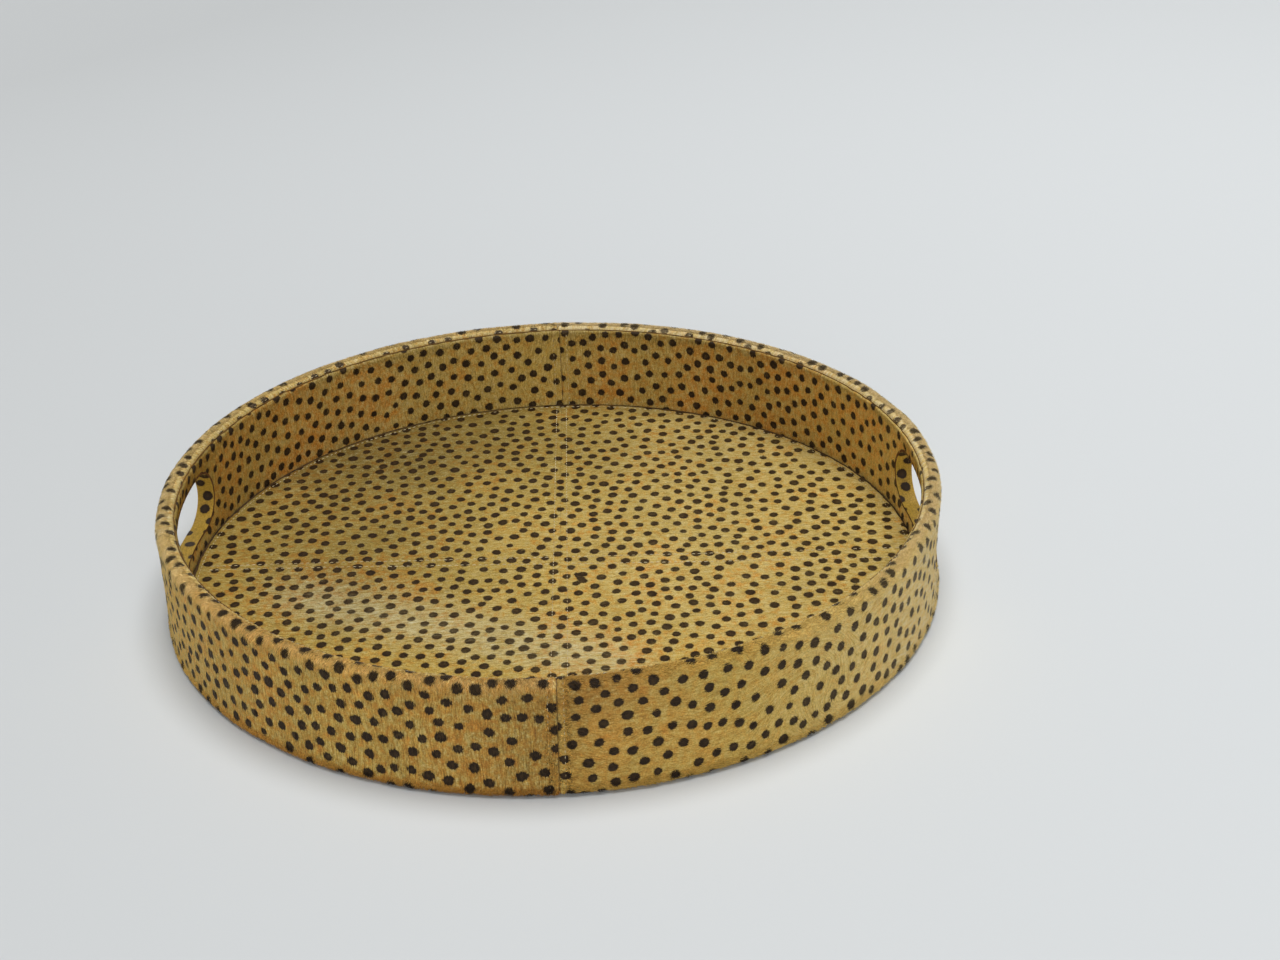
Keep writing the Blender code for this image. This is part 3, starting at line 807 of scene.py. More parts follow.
def hair_coat(name, ground, warm, pale, spot, streaks=1.0, blur=1.0, blotches=1.0, flecks=1.0,
              coat_roughness=0.62, gloss=0.2, sheen=0.05):
    """Cowhide with its hair on, clipped short, dyed and screen printed.

    The hair lies one way, so the colour and the bump run in streaks: locks of about 0.6 by 4 mm and broader
    ones of about 1.2 by 9 mm, which is coarser than real hair, so that they show in a picture of the whole
    tray. The print sinks unevenly into it, so its edge follows the streaks, by as much as blur says.
    blotches is how much the dye's warmth comes and goes over three fingers' width, and flecks how much it
    does so within one.
    """
    material, tree, shader = new_material(name, coat_roughness, gloss, sheen)
    way = node(tree, "UVMap", uv_map="hair")[0]
    place = node(tree, "TexCoord")["Object"]
    locks = noise_of(tree, way, (0.6 * MM, 4 * MM, 1), 3.0)
    tufts = noise_of(tree, way, (1.2 * MM, 9 * MM, 1))
    specks = noise_of(tree, place, 0.7 * MM)
    freckles = noise_of(tree, place, 2 * MM)
    mottle = noise_of(tree, place, 5 * MM)
    patches = noise_of(tree, place, 34 * MM)
    tone = weighed(tree, (locks, 1.3 * streaks), (tufts, 0.9 * streaks), (specks, 1.2), (mottle, 0.1),
                   (patches, 0.4), (1, 1))
    dye = node(tree, "Attribute", attribute_name="dye")[0]
    spot_gap = node(tree, "Attribute", attribute_name="spot")["Fac"]
    edge = weighed(tree, (locks, 1.9 * blur), (tufts, 0.9 * blur), (specks, 0.7), (mottle, 0.4),
                   (spot_gap, 1.0))
    warm_spots = weighed(tree, (patches, 1.2 * blotches), (mottle, -2.0 * flecks), (freckles, -1.6 * flecks),
                         (tufts, -0.8 * streaks), (locks, -0.6 * streaks), (specks, -1.0 * flecks))
    pale_spots = weighed(tree, (mottle, 0.3 * flecks), (freckles, 0.4 * flecks), (specks, 0.5 * flecks))
    shift = node(tree, "CombineXYZ", {0: 0.0, 1: warm_spots, 2: pale_spots})[0]
    dye = node(tree, "VectorMath", {0: dye, 1: shift}, operation="ADD")[0]
    worn = weighed(tree, (mottle, -3.0), (edge, 1.0))
    ink = mixed(tree, ramp(tree, worn, -0.6, -2.4), linear(spot), linear(PRINT_CORE))
    fuzz = weighed(tree, (locks, 3.0), (tufts, 4.0))
    shader["Base Color"].default_value = linear(ground)
    tree.links.new(dyed(tree, ground, warm, pale, ink, tone, edge, dye, fuzz), shader["Base Color"])
    bumped(tree, shader, weighed(tree, (locks, 1.0), (tufts, 1.6)), 0.11 * MM * streaks)
    shader["Sheen Roughness"].default_value = 0.45
    shader["Sheen Tint"].default_value = linear(pale)
    return material


def loose_hair(name, ground, warm, pale, spot):
    """Single stray hairs: each its own tone of the coat's dye, dark where it grows from a spot."""
    material, tree, shader = new_material(name, roughness=0.5, gloss=0.3)
    dye = node(tree, "Attribute", attribute_name="dye")[0]
    spot_gap = node(tree, "Attribute", attribute_name="spot")["Fac"]
    strand = node(tree, "Attribute", attribute_name="strand")["Fac"]
    tone = weighed(tree, (strand, 0.7), (1.0, 0.9))
    fuzz = weighed(tree, (strand, 1.0), (1.0, -0.5))
    edge = weighed(tree, (fuzz, 1.2), (spot_gap, 1.0))
    colour = dyed(tree, ground, warm, pale, linear(spot), tone, edge, dye, fuzz)
    tree.links.new(colour, shader["Base Color"])
    return material


def cut_hide(name, colour, burnished):
    """The cut edge and flesh side of tanned hide: matt, fibrous, darker where the knife burnished it."""
    material, tree, shader = new_material(name, roughness=0.85, gloss=0.2)
    place = node(tree, "TexCoord")["Object"]
    fibres = noise_of(tree, place, (0.5 * MM, 0.5 * MM, 0.25 * MM), 3.0)
    clouds = noise_of(tree, place, 9 * MM)
    tone = weighed(tree, (fibres, 0.7), (clouds, 0.5), (1, 1))
    toned(tree, shader, colour, burnished, ramp(tree, clouds, -0.1, 0.25), tone)
    bumped(tree, shader, fibres, 0.1 * MM, 0.5)
    return material


def grained(name, colours, grain, detail, tone, height, patch, limits, patch_detail=2.0, **finish):
    """A finish with a fine grain, which shades it by tone and stands up by height, and with patches.

    The patches take it from the first colour to the second as their noise goes from one limit to the other.
    grain and patch are the sizes of the two noises, and finish is what new_material takes.
    """
    material, tree, shader = new_material(name, **finish)
    place = node(tree, "TexCoord")["Object"]
    fine = noise_of(tree, place, grain, detail)
    broad = noise_of(tree, place, patch, patch_detail)
    toned(tree, shader, *colours, ramp(tree, broad, *limits), weighed(tree, (fine, tone), (1, 1)))
    if height:
        bumped(tree, shader, fine, height)
    return material


# Loose hairs

# Faces of a hair, whose points are its root, the left, the right and the top of its middle, and its tip
HAIR_FACES = [(0, 1, 2), (0, 3, 1), (0, 2, 3), (4, 2, 1), (4, 1, 3), (4, 3, 2)]
# Where those points lie within a hair's own cell of the map that finishes are baked to
HAIR_CELL = [(0.15, 0.5), (0.5, 0.85), (0.5, 0.15), (0.5, 0.5), (0.85, 0.5)]
# How deep a hair is rooted, how low one may hang over the table, and how many places are tried for each
ROOT_DEPTH = 0.15 * MM
HANG_LIMIT = 0.15 * MM
TRIES = 12


def comb(name, hide, low, high, count, seed, allowed, look, material, uneven=0.0):
    """Single hairs strewn over a hide, each a thin closed sliver: a root, three middle points and a tip.

    allowed(u, v) is how thick the coat is, 0 to 1. look is the length, the lift of the tip, the width and
    how far the hairs stray from the hair's direction, or a function of u and v that gives them. The middle
    points stand on a triangle round the hair's line, which bends there. uneven is how far a hair may be
    darker or paler than the coat.
    """
    draw = np.random.default_rng(seed)
    places = draw.uniform(low, high, (count * TRIES, 2))
    thick = allowed(*places.T)
    u, v = places[draw.uniform(0, 1, len(places)) < thick][:count].T
    many = len(u)
    length, lift, width, stray = (column + 0 * u for column in (look(u, v) if callable(look) else look))

    def way_change(du, dv):
        """How the distances across and along the hair's lines change over a small step."""
        return np.subtract(hide["hair_way"](u + du, v + dv), hide["hair_way"](u - du, v - dv))

    nudge = 0.5 * MM
    (across_u, along_u), (across_v, along_v) = way_change(nudge, 0), way_change(0, nudge)
    heading = np.arctan2(-across_u, across_v)
    back = np.cos(heading) * along_u + np.sin(heading) * along_v < 0
    heading = heading + back * HALF_TURN + draw.normal(0, 1, many) * stray
    length = length * draw.lognormal(0, 0.3, many)
    lift = lift * draw.uniform(0.3, 1.5, many)
    bend = draw.normal(0, 1, many) * stray * 0.7
    du, dv = np.cos(heading), np.sin(heading)
    middle_u, middle_v = u + du * length / 2, v + dv * length / 2
    tip_u = middle_u + np.cos(heading + bend) * length / 2
    tip_v = middle_v + np.sin(heading + bend) * length / 2
    half, arch = width / 2, 0.6 * lift
    stations = [
        (u, v, -ROOT_DEPTH), (middle_u - dv * half, middle_v + du * half, arch),
        (middle_u + dv * half, middle_v - du * half, arch), (middle_u, middle_v, arch + half),
        (tip_u, tip_v, lift),
    ]
    points = np.stack([hide["lay"](a, b, hide["relief"](a, b) + c) for a, b, c in stations], 1)
    points[..., 2] = np.maximum(points[..., 2], HANG_LIMIT)
    five = len(stations)
    faces = (np.array(HAIR_FACES)[None] + five * np.arange(many)[:, None, None]).reshape(-1, 3)
    piece = finish_mesh(name, points.reshape(-1, 3), [faces], [material])
    strand = draw.uniform(0, 1, many)
    dye = dye_of(hide, u, v)
    dye[:, 0] *= 1 + uneven * (2 * strand - 1)
    under = np.stack([hide["spot"](a, b) for a, b, _ in stations], -1)
    point_value(piece.data, "spot", under.ravel() / MM)
    point_value(piece.data, "dye", np.repeat(dye, five, 0))
    point_value(piece.data, "strand", np.repeat(strand, five))
    columns = math.ceil(math.sqrt(many))
    cell = np.stack(np.divmod(np.arange(many), columns), -1)[:, None]
    loop_map(piece.data, "OFBake", ((cell + np.array(HAIR_CELL)) / columns).reshape(-1, 2))
    return piece


# Stitches

# From one stitch to the next, and the share of that which is thread in sight
STITCH_PITCH = 3.0 * MM
STITCH_SHARE = 0.8
THREAD_HALF = 0.21 * MM
# Along a stitch, from a point in one needle hole to a point in the other, over five rings: the share of its
# length, its height, and its share of the thread's half width
STITCH_ALONG = np.array([-0.02, 0.10, 0.28, 0.5, 0.72, 0.90, 1.02])
STITCH_RISE = np.array([-0.55, -0.05, 0.18, 0.24, 0.18, -0.05, -0.55]) * MM
STITCH_GIRTH = np.array([0, 0.85, 1, 1, 1, 0.85, 0]) * THREAD_HALF
RING = np.arange(4)
STITCH_POINTS = 22


def stitch_faces():
    """The quads between a stitch's five rings of four points, and the triangles at its two end points."""
    side = np.roll(RING, -1)
    tube = [np.stack([RING, side, 4 + side, 4 + RING], -1) + 1 + 4 * i for i in range(4)]
    first, last = 0 * RING, 0 * RING + STITCH_POINTS - 1
    caps = [np.stack([first, 1 + side, 1 + RING], -1), np.stack([last, 17 + RING, 17 + side], -1)]
    return np.concatenate(tube), np.concatenate(caps)


def sew(name, hide, rows, material, nodes, depth=0.0):
    """Rows of running stitch: each stitch a short round thread that dives into its two needle holes.

    rows are lists of flat points, and depth lifts the stitches or sinks them into the hair.
    """
    tube, caps = stitch_faces()
    places, quads, triangles, start = [], [], [], 0
    for row in rows:
        u, v = np.array(row).T
        way = np.append(0, np.cumsum(np.hypot(np.diff(u), np.diff(v))))
        many = int(way[-1] / STITCH_PITCH)
        first = (way[-1] - many * STITCH_PITCH) / 2 + np.arange(many) * STITCH_PITCH
        at = first[:, None] + STITCH_ALONG * STITCH_PITCH * STITCH_SHARE
        centre_u, centre_v = np.interp(at, way, u), np.interp(at, way, v)
        run_u, run_v = (np.interp(at + 0.1 * MM, way, flat) - np.interp(at - 0.1 * MM, way, flat)
                        for flat in (u, v))
        size = np.hypot(run_u, run_v)
        aside_u, aside_v = -run_v / size, run_u / size
        base = hide["relief"](centre_u, centre_v) + STITCH_RISE + depth
        rings = []
        for angle in RING * QUARTER_TURN:
            out = STITCH_GIRTH * np.cos(angle)
            rings.append(hide["lay"](centre_u + aside_u * out, centre_v + aside_v * out,
                                     base + STITCH_GIRTH * np.sin(angle)))
        rings = np.stack(rings, 2)
        middle = rings[:, 1:-1].reshape(many, -1, 3)
        places.append(np.concatenate([rings[:, :1, 0], middle, rings[:, -1:, 0]], 1).reshape(-1, 3))
        offset = start + STITCH_POINTS * np.arange(many)[:, None, None]
        quads.append((tube[None] + offset).reshape(-1, 4))
        triangles.append((caps[None] + offset).reshape(-1, 3))
        start += STITCH_POINTS * many
    faces = [np.concatenate(quads), np.concatenate(triangles)]
    piece = finish_mesh(name, np.concatenate(places), faces, [material])
    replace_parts(piece, *nodes)
    return piece


# The tray's pieces

def wall_grid(line, seams, first, last, marks):
    """The flat grid of one half of the wall, from seam to seam, its ends drawn along the two seams."""
    lap = WHOLE_TURN * (seams[last][0] < seams[first][0])
    start = line["radius"] * seams[first][0] + WALL_SEAM_GAP / 2
    end = line["radius"] * (seams[last][0] + lap) - WALL_SEAM_GAP / 2
    u, v = np.meshgrid(spaced(start, end, [start, end]), spaced(0, line["length"], marks))
    for edge, seam in ((start, first), (end, last)):
        pull = 1 - smooth(0, SEAM_PULL, abs(u - edge))
        u = u + pull * (seam_line(line, seams[seam], v) - line["radius"] * seams[seam][0])
    return u, v


def wall_half(name, line, seams, ends, slot_v, marks, hide, solid):
    """One half of a wall's hide between the seams named by ends, with its hand slot cut out."""
    u, v = wall_grid(line, seams, *ends, marks)
    u, v, kept, on_line = trim(u, v, lambda a, b: outside_slot(line, slot_v, a, b) - HIDE - LINER_ROOM)
    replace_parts(make_hide(name, hide, u, v, kept, on_line), solid)


def floor_quarter(name, side, end, hide, solid):
    """One quarter of the floor: side and end are 1 or -1, towards +x and +y."""
    lines = spaced(0, FLOOR_RADIUS + 2 * MM, [0]) + FLOOR_SEAM_GAP / 2
    grid_u, grid_v = np.meshgrid(side * lines, end * lines)
    far = 0.7 * FLOOR_RADIUS
    u = grid_u + BACK_TO_FRONT(grid_v) * (1 - smooth(0, far, abs(grid_u)))
    v = grid_v + SIDE_TO_SIDE(grid_u) * (1 - smooth(0, far, abs(grid_v)))
    u, v, kept, on_line = trim(u, v, lambda a, b: FLOOR_RADIUS - np.hypot(a, b))
    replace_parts(make_hide(name, hide, u, v, kept, on_line), solid)


def wall_row(line, seam, aside, start, end):
    """Flat points of a row of stitches beside an upright seam."""
    v = np.linspace(start, end, 200)
    return np.stack([seam_line(line, seam, v) + aside, v], -1)


def floor_rows():
    """Flat points of the floor's rows: beside the back-to-front seam, the other seam, and round the edge."""
    reach = FLOOR_RADIUS - FLOOR_STITCH_INSET
    y = np.linspace(-reach, reach, 400)
    half = ROW_HALF + ROW_GROWTH_BACK * y
    rows = [np.stack([BACK_TO_FRONT(y) + side * half, y], -1) for side in (-1, 1)]
    for side in (-1, 1):
        for way in (-1, 1):
            x = way * np.linspace(5 * MM, reach, 200) + BACK_TO_FRONT(0)
            rows.append(np.stack([x, SIDE_TO_SIDE(x) + side * (ROW_HALF + ROW_GROWTH_RIGHT * x)], -1))
    rows = [row[np.hypot(*row.T) < reach] for row in rows]
    angle = np.linspace(0, WHOLE_TURN, 1200)
    return rows + [np.stack([reach * np.cos(angle), reach * np.sin(angle)], -1)]


# Points of a cut edge round the tray and round its oval section, and half the section's height
EDGE_ROUND, EDGE_SECTION = 900, 8
EDGE_HALF_HEIGHT = 0.35 * MM


def cut_edge(name, material, slot, radius, height, half):
    """A hide's burnished cut edge that shows in a seam, drawn dark so that it also stands for the seam's
    painted shade: a strip of oval section round the whole tray.

    The oval reaches out to the given radius at the given height, and half(angle, x, y) is half its width.
    """
    angle, turn = np.meshgrid(*(np.linspace(0, WHOLE_TURN, many, endpoint=False)
                                for many in (EDGE_ROUND, EDGE_SECTION)))
    half = half(angle, radius * np.cos(angle), radius * np.sin(angle))
    reach = radius - half + half * np.cos(turn)
    z = height + EDGE_HALF_HEIGHT * np.sin(turn)
    places = np.stack([reach * np.cos(angle), reach * np.sin(angle), z], -1)
    index = np.arange(angle.size).reshape(angle.shape)
    ahead, up = np.roll(index, -1, 1), np.roll(index, -1, 0)
    faces = np.stack([index, ahead, np.roll(ahead, -1, 0), up], -1).reshape(-1, 4)
    finish_mesh(name, places.reshape(-1, 3), [faces], [material])


# Dyes of the coat: ground, warm parts, pale hair ends and print
GROUND, WARM, PALE, PRINT = "#C8AA54", "#CD8E3A", "#DDD2B2", "#281A0A"
DYES = (GROUND, WARM, PALE, PRINT)
SPOT_RADIUS = 2.3 * MM
RIGHT_SPOT_RADIUS = 0.96 * SPOT_RADIUS
LINING_SPOT_RADIUS = 2.1 * MM
FLOOR_SPOT_RADIUS = 2.35 * MM
SLOT_SPOT_RADIUS = 2.45 * MM
# How far the print runs on past the edge of each hide
MARGIN = 6 * MM

long_coat = hair_coat("long_clipped_cowhide", *DYES, streaks=1.1, blur=1.0, blotches=0.6, flecks=1.1)
short_coat = hair_coat("short_clipped_cowhide", *DYES, streaks=0.65, blur=0.35, blotches=0.7, flecks=0.6)
lining_coat = hair_coat("clipped_cowhide_lining", *DYES, streaks=0.7, blur=0.3, blotches=1.3, flecks=1.1)
# The floor's pale is greyer than the others, and it also colours the painted sheen band.
floor_coat = hair_coat("clipped_cowhide_floor", GROUND, WARM, "#CFCDAE", PRINT, streaks=0.75, blur=0.25,
                       flecks=1.05, gloss=0.08, sheen=0.02)
slot_coat = hair_coat("calfskin_slot_lining", "#BE9A3C", "#B8862E", "#CDB468", PRINT, streaks=0.4, blur=0.2,
                      flecks=0.4, coat_roughness=0.5)
stray = loose_hair("stray_cow_hair", *DYES)
rim_tuft = loose_hair("pale_cow_hair_tuft", "#CFAF62", "#D2A058", "#E6DCC0", PRINT)
flesh = cut_hide("tanned_flesh_side", "#7A5636", "#3E2815")
# Waxed linen thread, two plies twisted: pale, a little dirty in patches
thread = grained("waxed_linen_thread", ("#DCCFA8", "#AE9664"), grain=0.25 * MM, detail=2.0, tone=0.5,
                 height=0.08 * MM, patch=12 * MM, limits=(-0.2, 0.25), roughness=0.55)


def hide_facts(slot, coat, lay, relief, way, dye, spot):
    """What the pieces of a hide share: its slot and coat, and its functions of the flat coordinates."""
    return {"slot": slot, "hair": coat, "flesh": flesh, "lay": lay, "relief": relief, "hair_way": way,
            "dye": dye, "spot": spot}


outer_top, lining_top = OUTER_END + MARGIN, LINING_END + MARGIN
left_spots = strew((RADIUS * QUARTER_TURN - MARGIN, -MARGIN), (RADIUS * 1.53 * HALF_TURN, outer_top), 5,
                   SPOT_RADIUS)
right_spots = strew((-RADIUS * 0.5 * HALF_TURN, -MARGIN), (RADIUS * 0.52 * HALF_TURN, outer_top), 6,
                    RIGHT_SPOT_RADIUS)
lining_right_spots, lining_left_spots = [
    strew((LINING_RADIUS * start * HALF_TURN, -MARGIN), (LINING_RADIUS * end * HALF_TURN, lining_top), seed,
          LINING_SPOT_RADIUS, crowd=1.12) for start, end, seed in ((-0.52, 0.52, 7), (0.48, 1.52, 8))]
floor_spots = strew((-FLOOR_RADIUS, -FLOOR_RADIUS), (FLOOR_RADIUS, FLOOR_RADIUS), 9, FLOOR_SPOT_RADIUS,
                    lean=(1.1, QUARTER_TURN), crowd=1.04, unlike=0.5)
slot_spots = strew((-MARGIN, LINING_RADIUS - MARGIN), (SLOT_ROUND + MARGIN, RADIUS + MARGIN), 10,
                   SLOT_SPOT_RADIUS)


def floor_print(u, v):
    """The floor's spots, with one smear of print near the middle."""
    smear = outside_smear(u, v, (11.1 * MM, -16.1 * MM), (14.6 * MM, -23.2 * MM), 1.2 * MM, 2.1 * MM)
    return np.minimum(outside_spots(floor_spots, u, v), smear)


def right_print(u, v):
    """The right half's spots, with two thin strokes of print near the front of its rim."""
    strokes = [outside_smear(u, v, (round_by(start), RIM_MIDDLE + 2.2 * MM),
                             (round_by(start + 1.2), RIM_MIDDLE + 2.7 * MM), 0.1 * MM, 0.2 * MM)
               for start in (-69.0, -66.4)]
    return np.minimum(outside_spots(right_spots, u, v), np.minimum(*strokes))


outer_left = hide_facts("outer_hide", long_coat, lay_outer, outer_relief, outer_left_way, outer_left_dye,
                        partial(outside_spots, left_spots))
outer_right = hide_facts("outer_hide", short_coat, lay_outer, outer_relief, outer_right_way, outer_right_dye,
                         right_print)
lining_right, lining_left = [
    hide_facts("lining_hide", lining_coat, lay_lining, lining_relief, lining_way, lining_dye,
               partial(outside_spots, spots)) for spots in (lining_right_spots, lining_left_spots)]
floor = hide_facts("floor_hide", floor_coat, lay_floor, floor_relief, floor_way, floor_dye, floor_print)

# Where the grid is dense along v, and which seams each half of the wall lies between
OUTER_MARKS = [0, WALL_START, RIM_MIDDLE - 2 * MM, RIM_MIDDLE + 2 * MM]
LINING_MARKS = [0, LINING_END]
HALF_ENDS = {"right": ("front", "back"), "left": ("back", "front")}
for wall, line, seams, slot_v, marks, halves in (
        ("outer", OUTER_PROFILE, OUTER_SEAMS, OUTER_SLOT_V, OUTER_MARKS, (outer_right, outer_left)),
        ("lining", LINING_PROFILE, LINING_SEAMS, LINING_SLOT_V, LINING_MARKS, (lining_right, lining_left))):
    for (side, ends), hide in zip(HALF_ENDS.items(), halves):
        wall_half(f"{wall}_coat_{side}", line, seams, ends, slot_v, marks, hide, f"{wall}_hide_{side}")

SIDES = ((1, "right"), (-1, "left"))
for end, end_name in ((1, "back"), (-1, "front")):
    for side, side_name in SIDES:
        corner = f"{end_name}_{side_name}"
        floor_quarter(f"floor_coat_{corner}", side, end, floor, f"floor_hide_{corner}")

liner_depth = (LINING_RADIUS + SLOT_DRAW - LINER_PROUD, RADIUS - SLOT_DRAW + LINER_PROUD)
around, across = np.meshgrid(np.linspace(0, SLOT_ROUND, 181), np.linspace(*liner_depth, 9))
for side, side_name in SIDES:
    slot_hide = hide_facts("slot_hide", slot_coat, lay_slot(side), slot_relief, slot_way, slot_dye,
                           partial(outside_spots, slot_spots))
    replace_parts(make_hide(f"slot_lining_{side_name}", slot_hide, around, across), f"slot_liner_{side_name}")


def floor_edge_half(angle, x, y):
    """Half the width of the floor's cut edge: uneven, and widest on the left."""
    uneven = 0.6 + 0.15 * swell(x, y, 16 * MM, 71) + 0.12 * swell(x, y, 4 * MM, 72) - 0.25 * np.cos(angle)
    return np.clip(uneven, 0.15, 1.2) * MM


def rim_edge_half(angle, x, y):
    """Half the width of the rim's cut edge: uneven, and a little wider on the left."""
    uneven = 0.18 + 0.1 * swell(x, y, 9 * MM, 73) - 0.06 * np.cos(angle)
    return np.clip(uneven, 0.06, 0.35) * MM


# The floor's cut edge, also standing for painted shade in the groove under the wall.
cut_edge("floor_cut_edge_and_groove_shade", cut_hide("burnished_edge_and_groove_shade", "#4E3A22", "#261A0C"), "floor_hide",
         FLOOR_RADIUS - 0.05 * MM, FLOOR_TOP - 0.2 * MM, floor_edge_half)
# The rim's cut edge, also standing for painted shade in the seam between the outer hide and the lining.
rim_seam_place = (RIM_INNER[0] + RIM_ROUND * math.cos(RIM_SEAM) + 0.2 * MM,
                  RIM_INNER[1] + RIM_ROUND * math.sin(RIM_SEAM) - 0.3 * MM)
cut_edge("rim_cut_edge_and_seam_shade", cut_hide("dyed_edge_and_seam_shade", "#7A5A30", "#4A3418"), "outer_hide", *rim_seam_place,
         rim_edge_half)

# Rows beside the wall's seams: at the front outside they stand unevenly off the seam
EVEN_ROWS = (-STITCH_OFFSET, STITCH_OFFSET)
FRONT_ROWS = (-3.9 * MM, 2.8 * MM)
quarters = [f"{end}_{side}" for end in ("back", "front") for side in ("left", "right")]
sew("outer_stitching", outer_left,
    [wall_row(OUTER_PROFILE, OUTER_SEAMS[end], aside, 4 * MM, OUTER_END - 2 * MM)
     for end, asides in (("front", FRONT_ROWS), ("back", EVEN_ROWS)) for aside in asides], thread,
    [f"outer_thread_{quarter}" for quarter in quarters], depth=-0.3 * MM)
sew("lining_stitching", lining_left,
    [wall_row(LINING_PROFILE, seam, aside, 1.5 * MM, LINING_END - 1.5 * MM)
     for seam in LINING_SEAMS.values() for aside in EVEN_ROWS], thread,
    [f"lining_thread_{quarter}" for quarter in quarters], depth=-0.22 * MM)
around = np.linspace(0, WHOLE_TURN, 1200) * RADIUS
sew("rim_stitching", outer_left, [np.stack([around, 0 * around + OUTER_END - RIM_STITCH_INSET], -1)], thread,
    ["rim_thread_left", "rim_thread_right"], depth=-0.3 * MM)
sew("floor_stitching", floor, floor_rows(), thread,
    [f"floor_thread_{part}" for part in (*quarters, "across_back", "across_front", "edge")],
    depth=-0.12 * MM)


# Loose hairs of each hide

# Real hairs are some 0.06 mm thick. These are drawn as locks of a few hairs, wide enough to show in a
# picture of the whole tray. A look is the length, the lift of the tip, the width and the stray in radians.
TUFT_LOOK = (3.2 * MM, 0.8 * MM, 0.2 * MM, 0.35)
FRINGE_LOOK = (2.4 * MM, 0.8 * MM, 0.19 * MM, 0.6)
SEAM_LOOK = (1.5 * MM, 0.35 * MM, 0.22 * MM, 1.1)
LINING_LOOK = (3.0 * MM, 0.2 * MM, 0.16 * MM, 0.15)
FLOOR_LOOK = (3.0 * MM, 0.12 * MM, 0.15 * MM, 0.12)


def outer_look(u, v):
    """Outside, the hairs over the rim are longer, stand higher and stray more."""
    rim = smooth(WALL_END, WALL_END + 5 * MM, v)
    return (3.2 + 1.2 * rim) * MM, (0.25 + 0.45 * rim) * MM, (0.17 + 0.04 * rim) * MM, 0.15 + 0.3 * rim


def clear_of_slot(line, slot_v, u, v):
    """Whether a place lies well outside the hand slot, where the hide is whole."""
    return outside_slot(line, slot_v, u, v) > 2 * HIDE


def outer_thick(u, v):
    """How thick the loose coat is outside: dense over the rim, at the foot and beside the front seam."""
    rim = smooth(WALL_END, WALL_END + 5 * MM, v) * smooth(OUTER_END, OUTER_END - 2.5 * MM, v)
    foot = smooth(WALL_START + 2 * MM, WALL_START - 2 * MM, v)
    front = hump(past_seam(OUTER_PROFILE, OUTER_SEAMS["front"], u, v), 6 * MM)
    thick = np.clip(0.25 + 0.75 * rim + 0.5 * foot + 0.4 * front, 0, 1)
    return thick * clear_of_slot(OUTER_PROFILE, OUTER_SLOT_V, u, v) * (v < OUTER_END - 2 * MM) * (v > 0)


def tuft_thick(u, v):
    """Where the rim's long hairs stand: in tufts over its crown, fewer at the front and none front right."""
    rim = smooth(WALL_END + 3 * MM, WALL_END + 6 * MM, v) * smooth(OUTER_END - 1 * MM, OUTER_END - 4 * MM, v)
    away = smooth(round_by(-50), round_by(-20), u)
    away = away * (1 - 0.6 * smooth(round_by(225), round_by(250), u))
    tufts = 0.35 + 0.65 * smooth(-0.4, 0.5, swell(u, v, 11 * MM, 62))
    return rim * tufts * clear_of_slot(OUTER_PROFILE, OUTER_SLOT_V, u, v) * away


def fringe_thick(u, v):
    """Where hair hangs over the foot, thick and thin by turns."""
    clumps = 0.4 + 0.6 * smooth(-0.6, 0.6, swell(u, v, 7 * MM, 63))
    return hump(v - WALL_START - 1.3 * MM, 1.3 * MM) * clumps


def seam_thick(u, v):
    """Where short hairs stand up by the front seam: out of its stitches' holes, and fewer from the seam."""
    gap = abs(past_seam(OUTER_PROFILE, OUTER_SEAMS["front"], u, v))
    near = hump(gap - STITCH_OFFSET, 1.1 * MM) + 0.35 * hump(gap, 1.4 * MM)
    return near * (v > WALL_START) * (v < OUTER_END - 3 * MM)


def lining_thick(u, v):
    """Even over the lining, and denser below the rim's seam."""
    thick = 0.4 + 0.6 * hump(v - 2 * MM, 4 * MM)
    return thick * clear_of_slot(LINING_PROFILE, LINING_SLOT_V, u, v) * (v < LINING_END - 3 * MM)


def floor_thick(u, v):
    """Even over the floor, but for its edge."""
    return np.hypot(u, v) < FLOOR_RADIUS - 4 * MM


# The turn from the back seam to just short of the front one on each side, in radians
RIGHT_SPAN = 3.10
LEFT_SPAN = 3.17

back_seam = OUTER_SEAMS["back"][0] * RADIUS
halves = {"right": (outer_right, back_seam - RIGHT_SPAN * RADIUS, back_seam),
          "left": (outer_left, back_seam, back_seam + LEFT_SPAN * RADIUS)}
rim_low = WALL_END - 3 * MM
foot_high = 2 * WALL_START
for name, side, low, high, count, seed, allowed, look, hair in (
        ("outer_hairs", "right", 0, OUTER_END, 26000, 51, outer_thick, outer_look, stray),
        ("outer_hairs", "left", 0, OUTER_END, 30000, 52, outer_thick, outer_look, stray),
        ("rim_tufts", "left", rim_low, OUTER_END, 17000, 57, tuft_thick, TUFT_LOOK, rim_tuft),
        ("rim_tufts", "right", rim_low, OUTER_END, 9000, 62, tuft_thick, TUFT_LOOK, rim_tuft),
        ("foot_fringe", "left", 0, foot_high, 12000, 58, fringe_thick, FRINGE_LOOK, stray),
        ("foot_fringe", "right", 0, foot_high, 7000, 59, fringe_thick, FRINGE_LOOK, stray)):
    hide, start, end = halves[side]
    comb(f"{name}_{side}", hide, (start, low), (end, high), count, seed, allowed, look, hair)
front_seam = OUTER_SEAMS["front"][0] * RADIUS
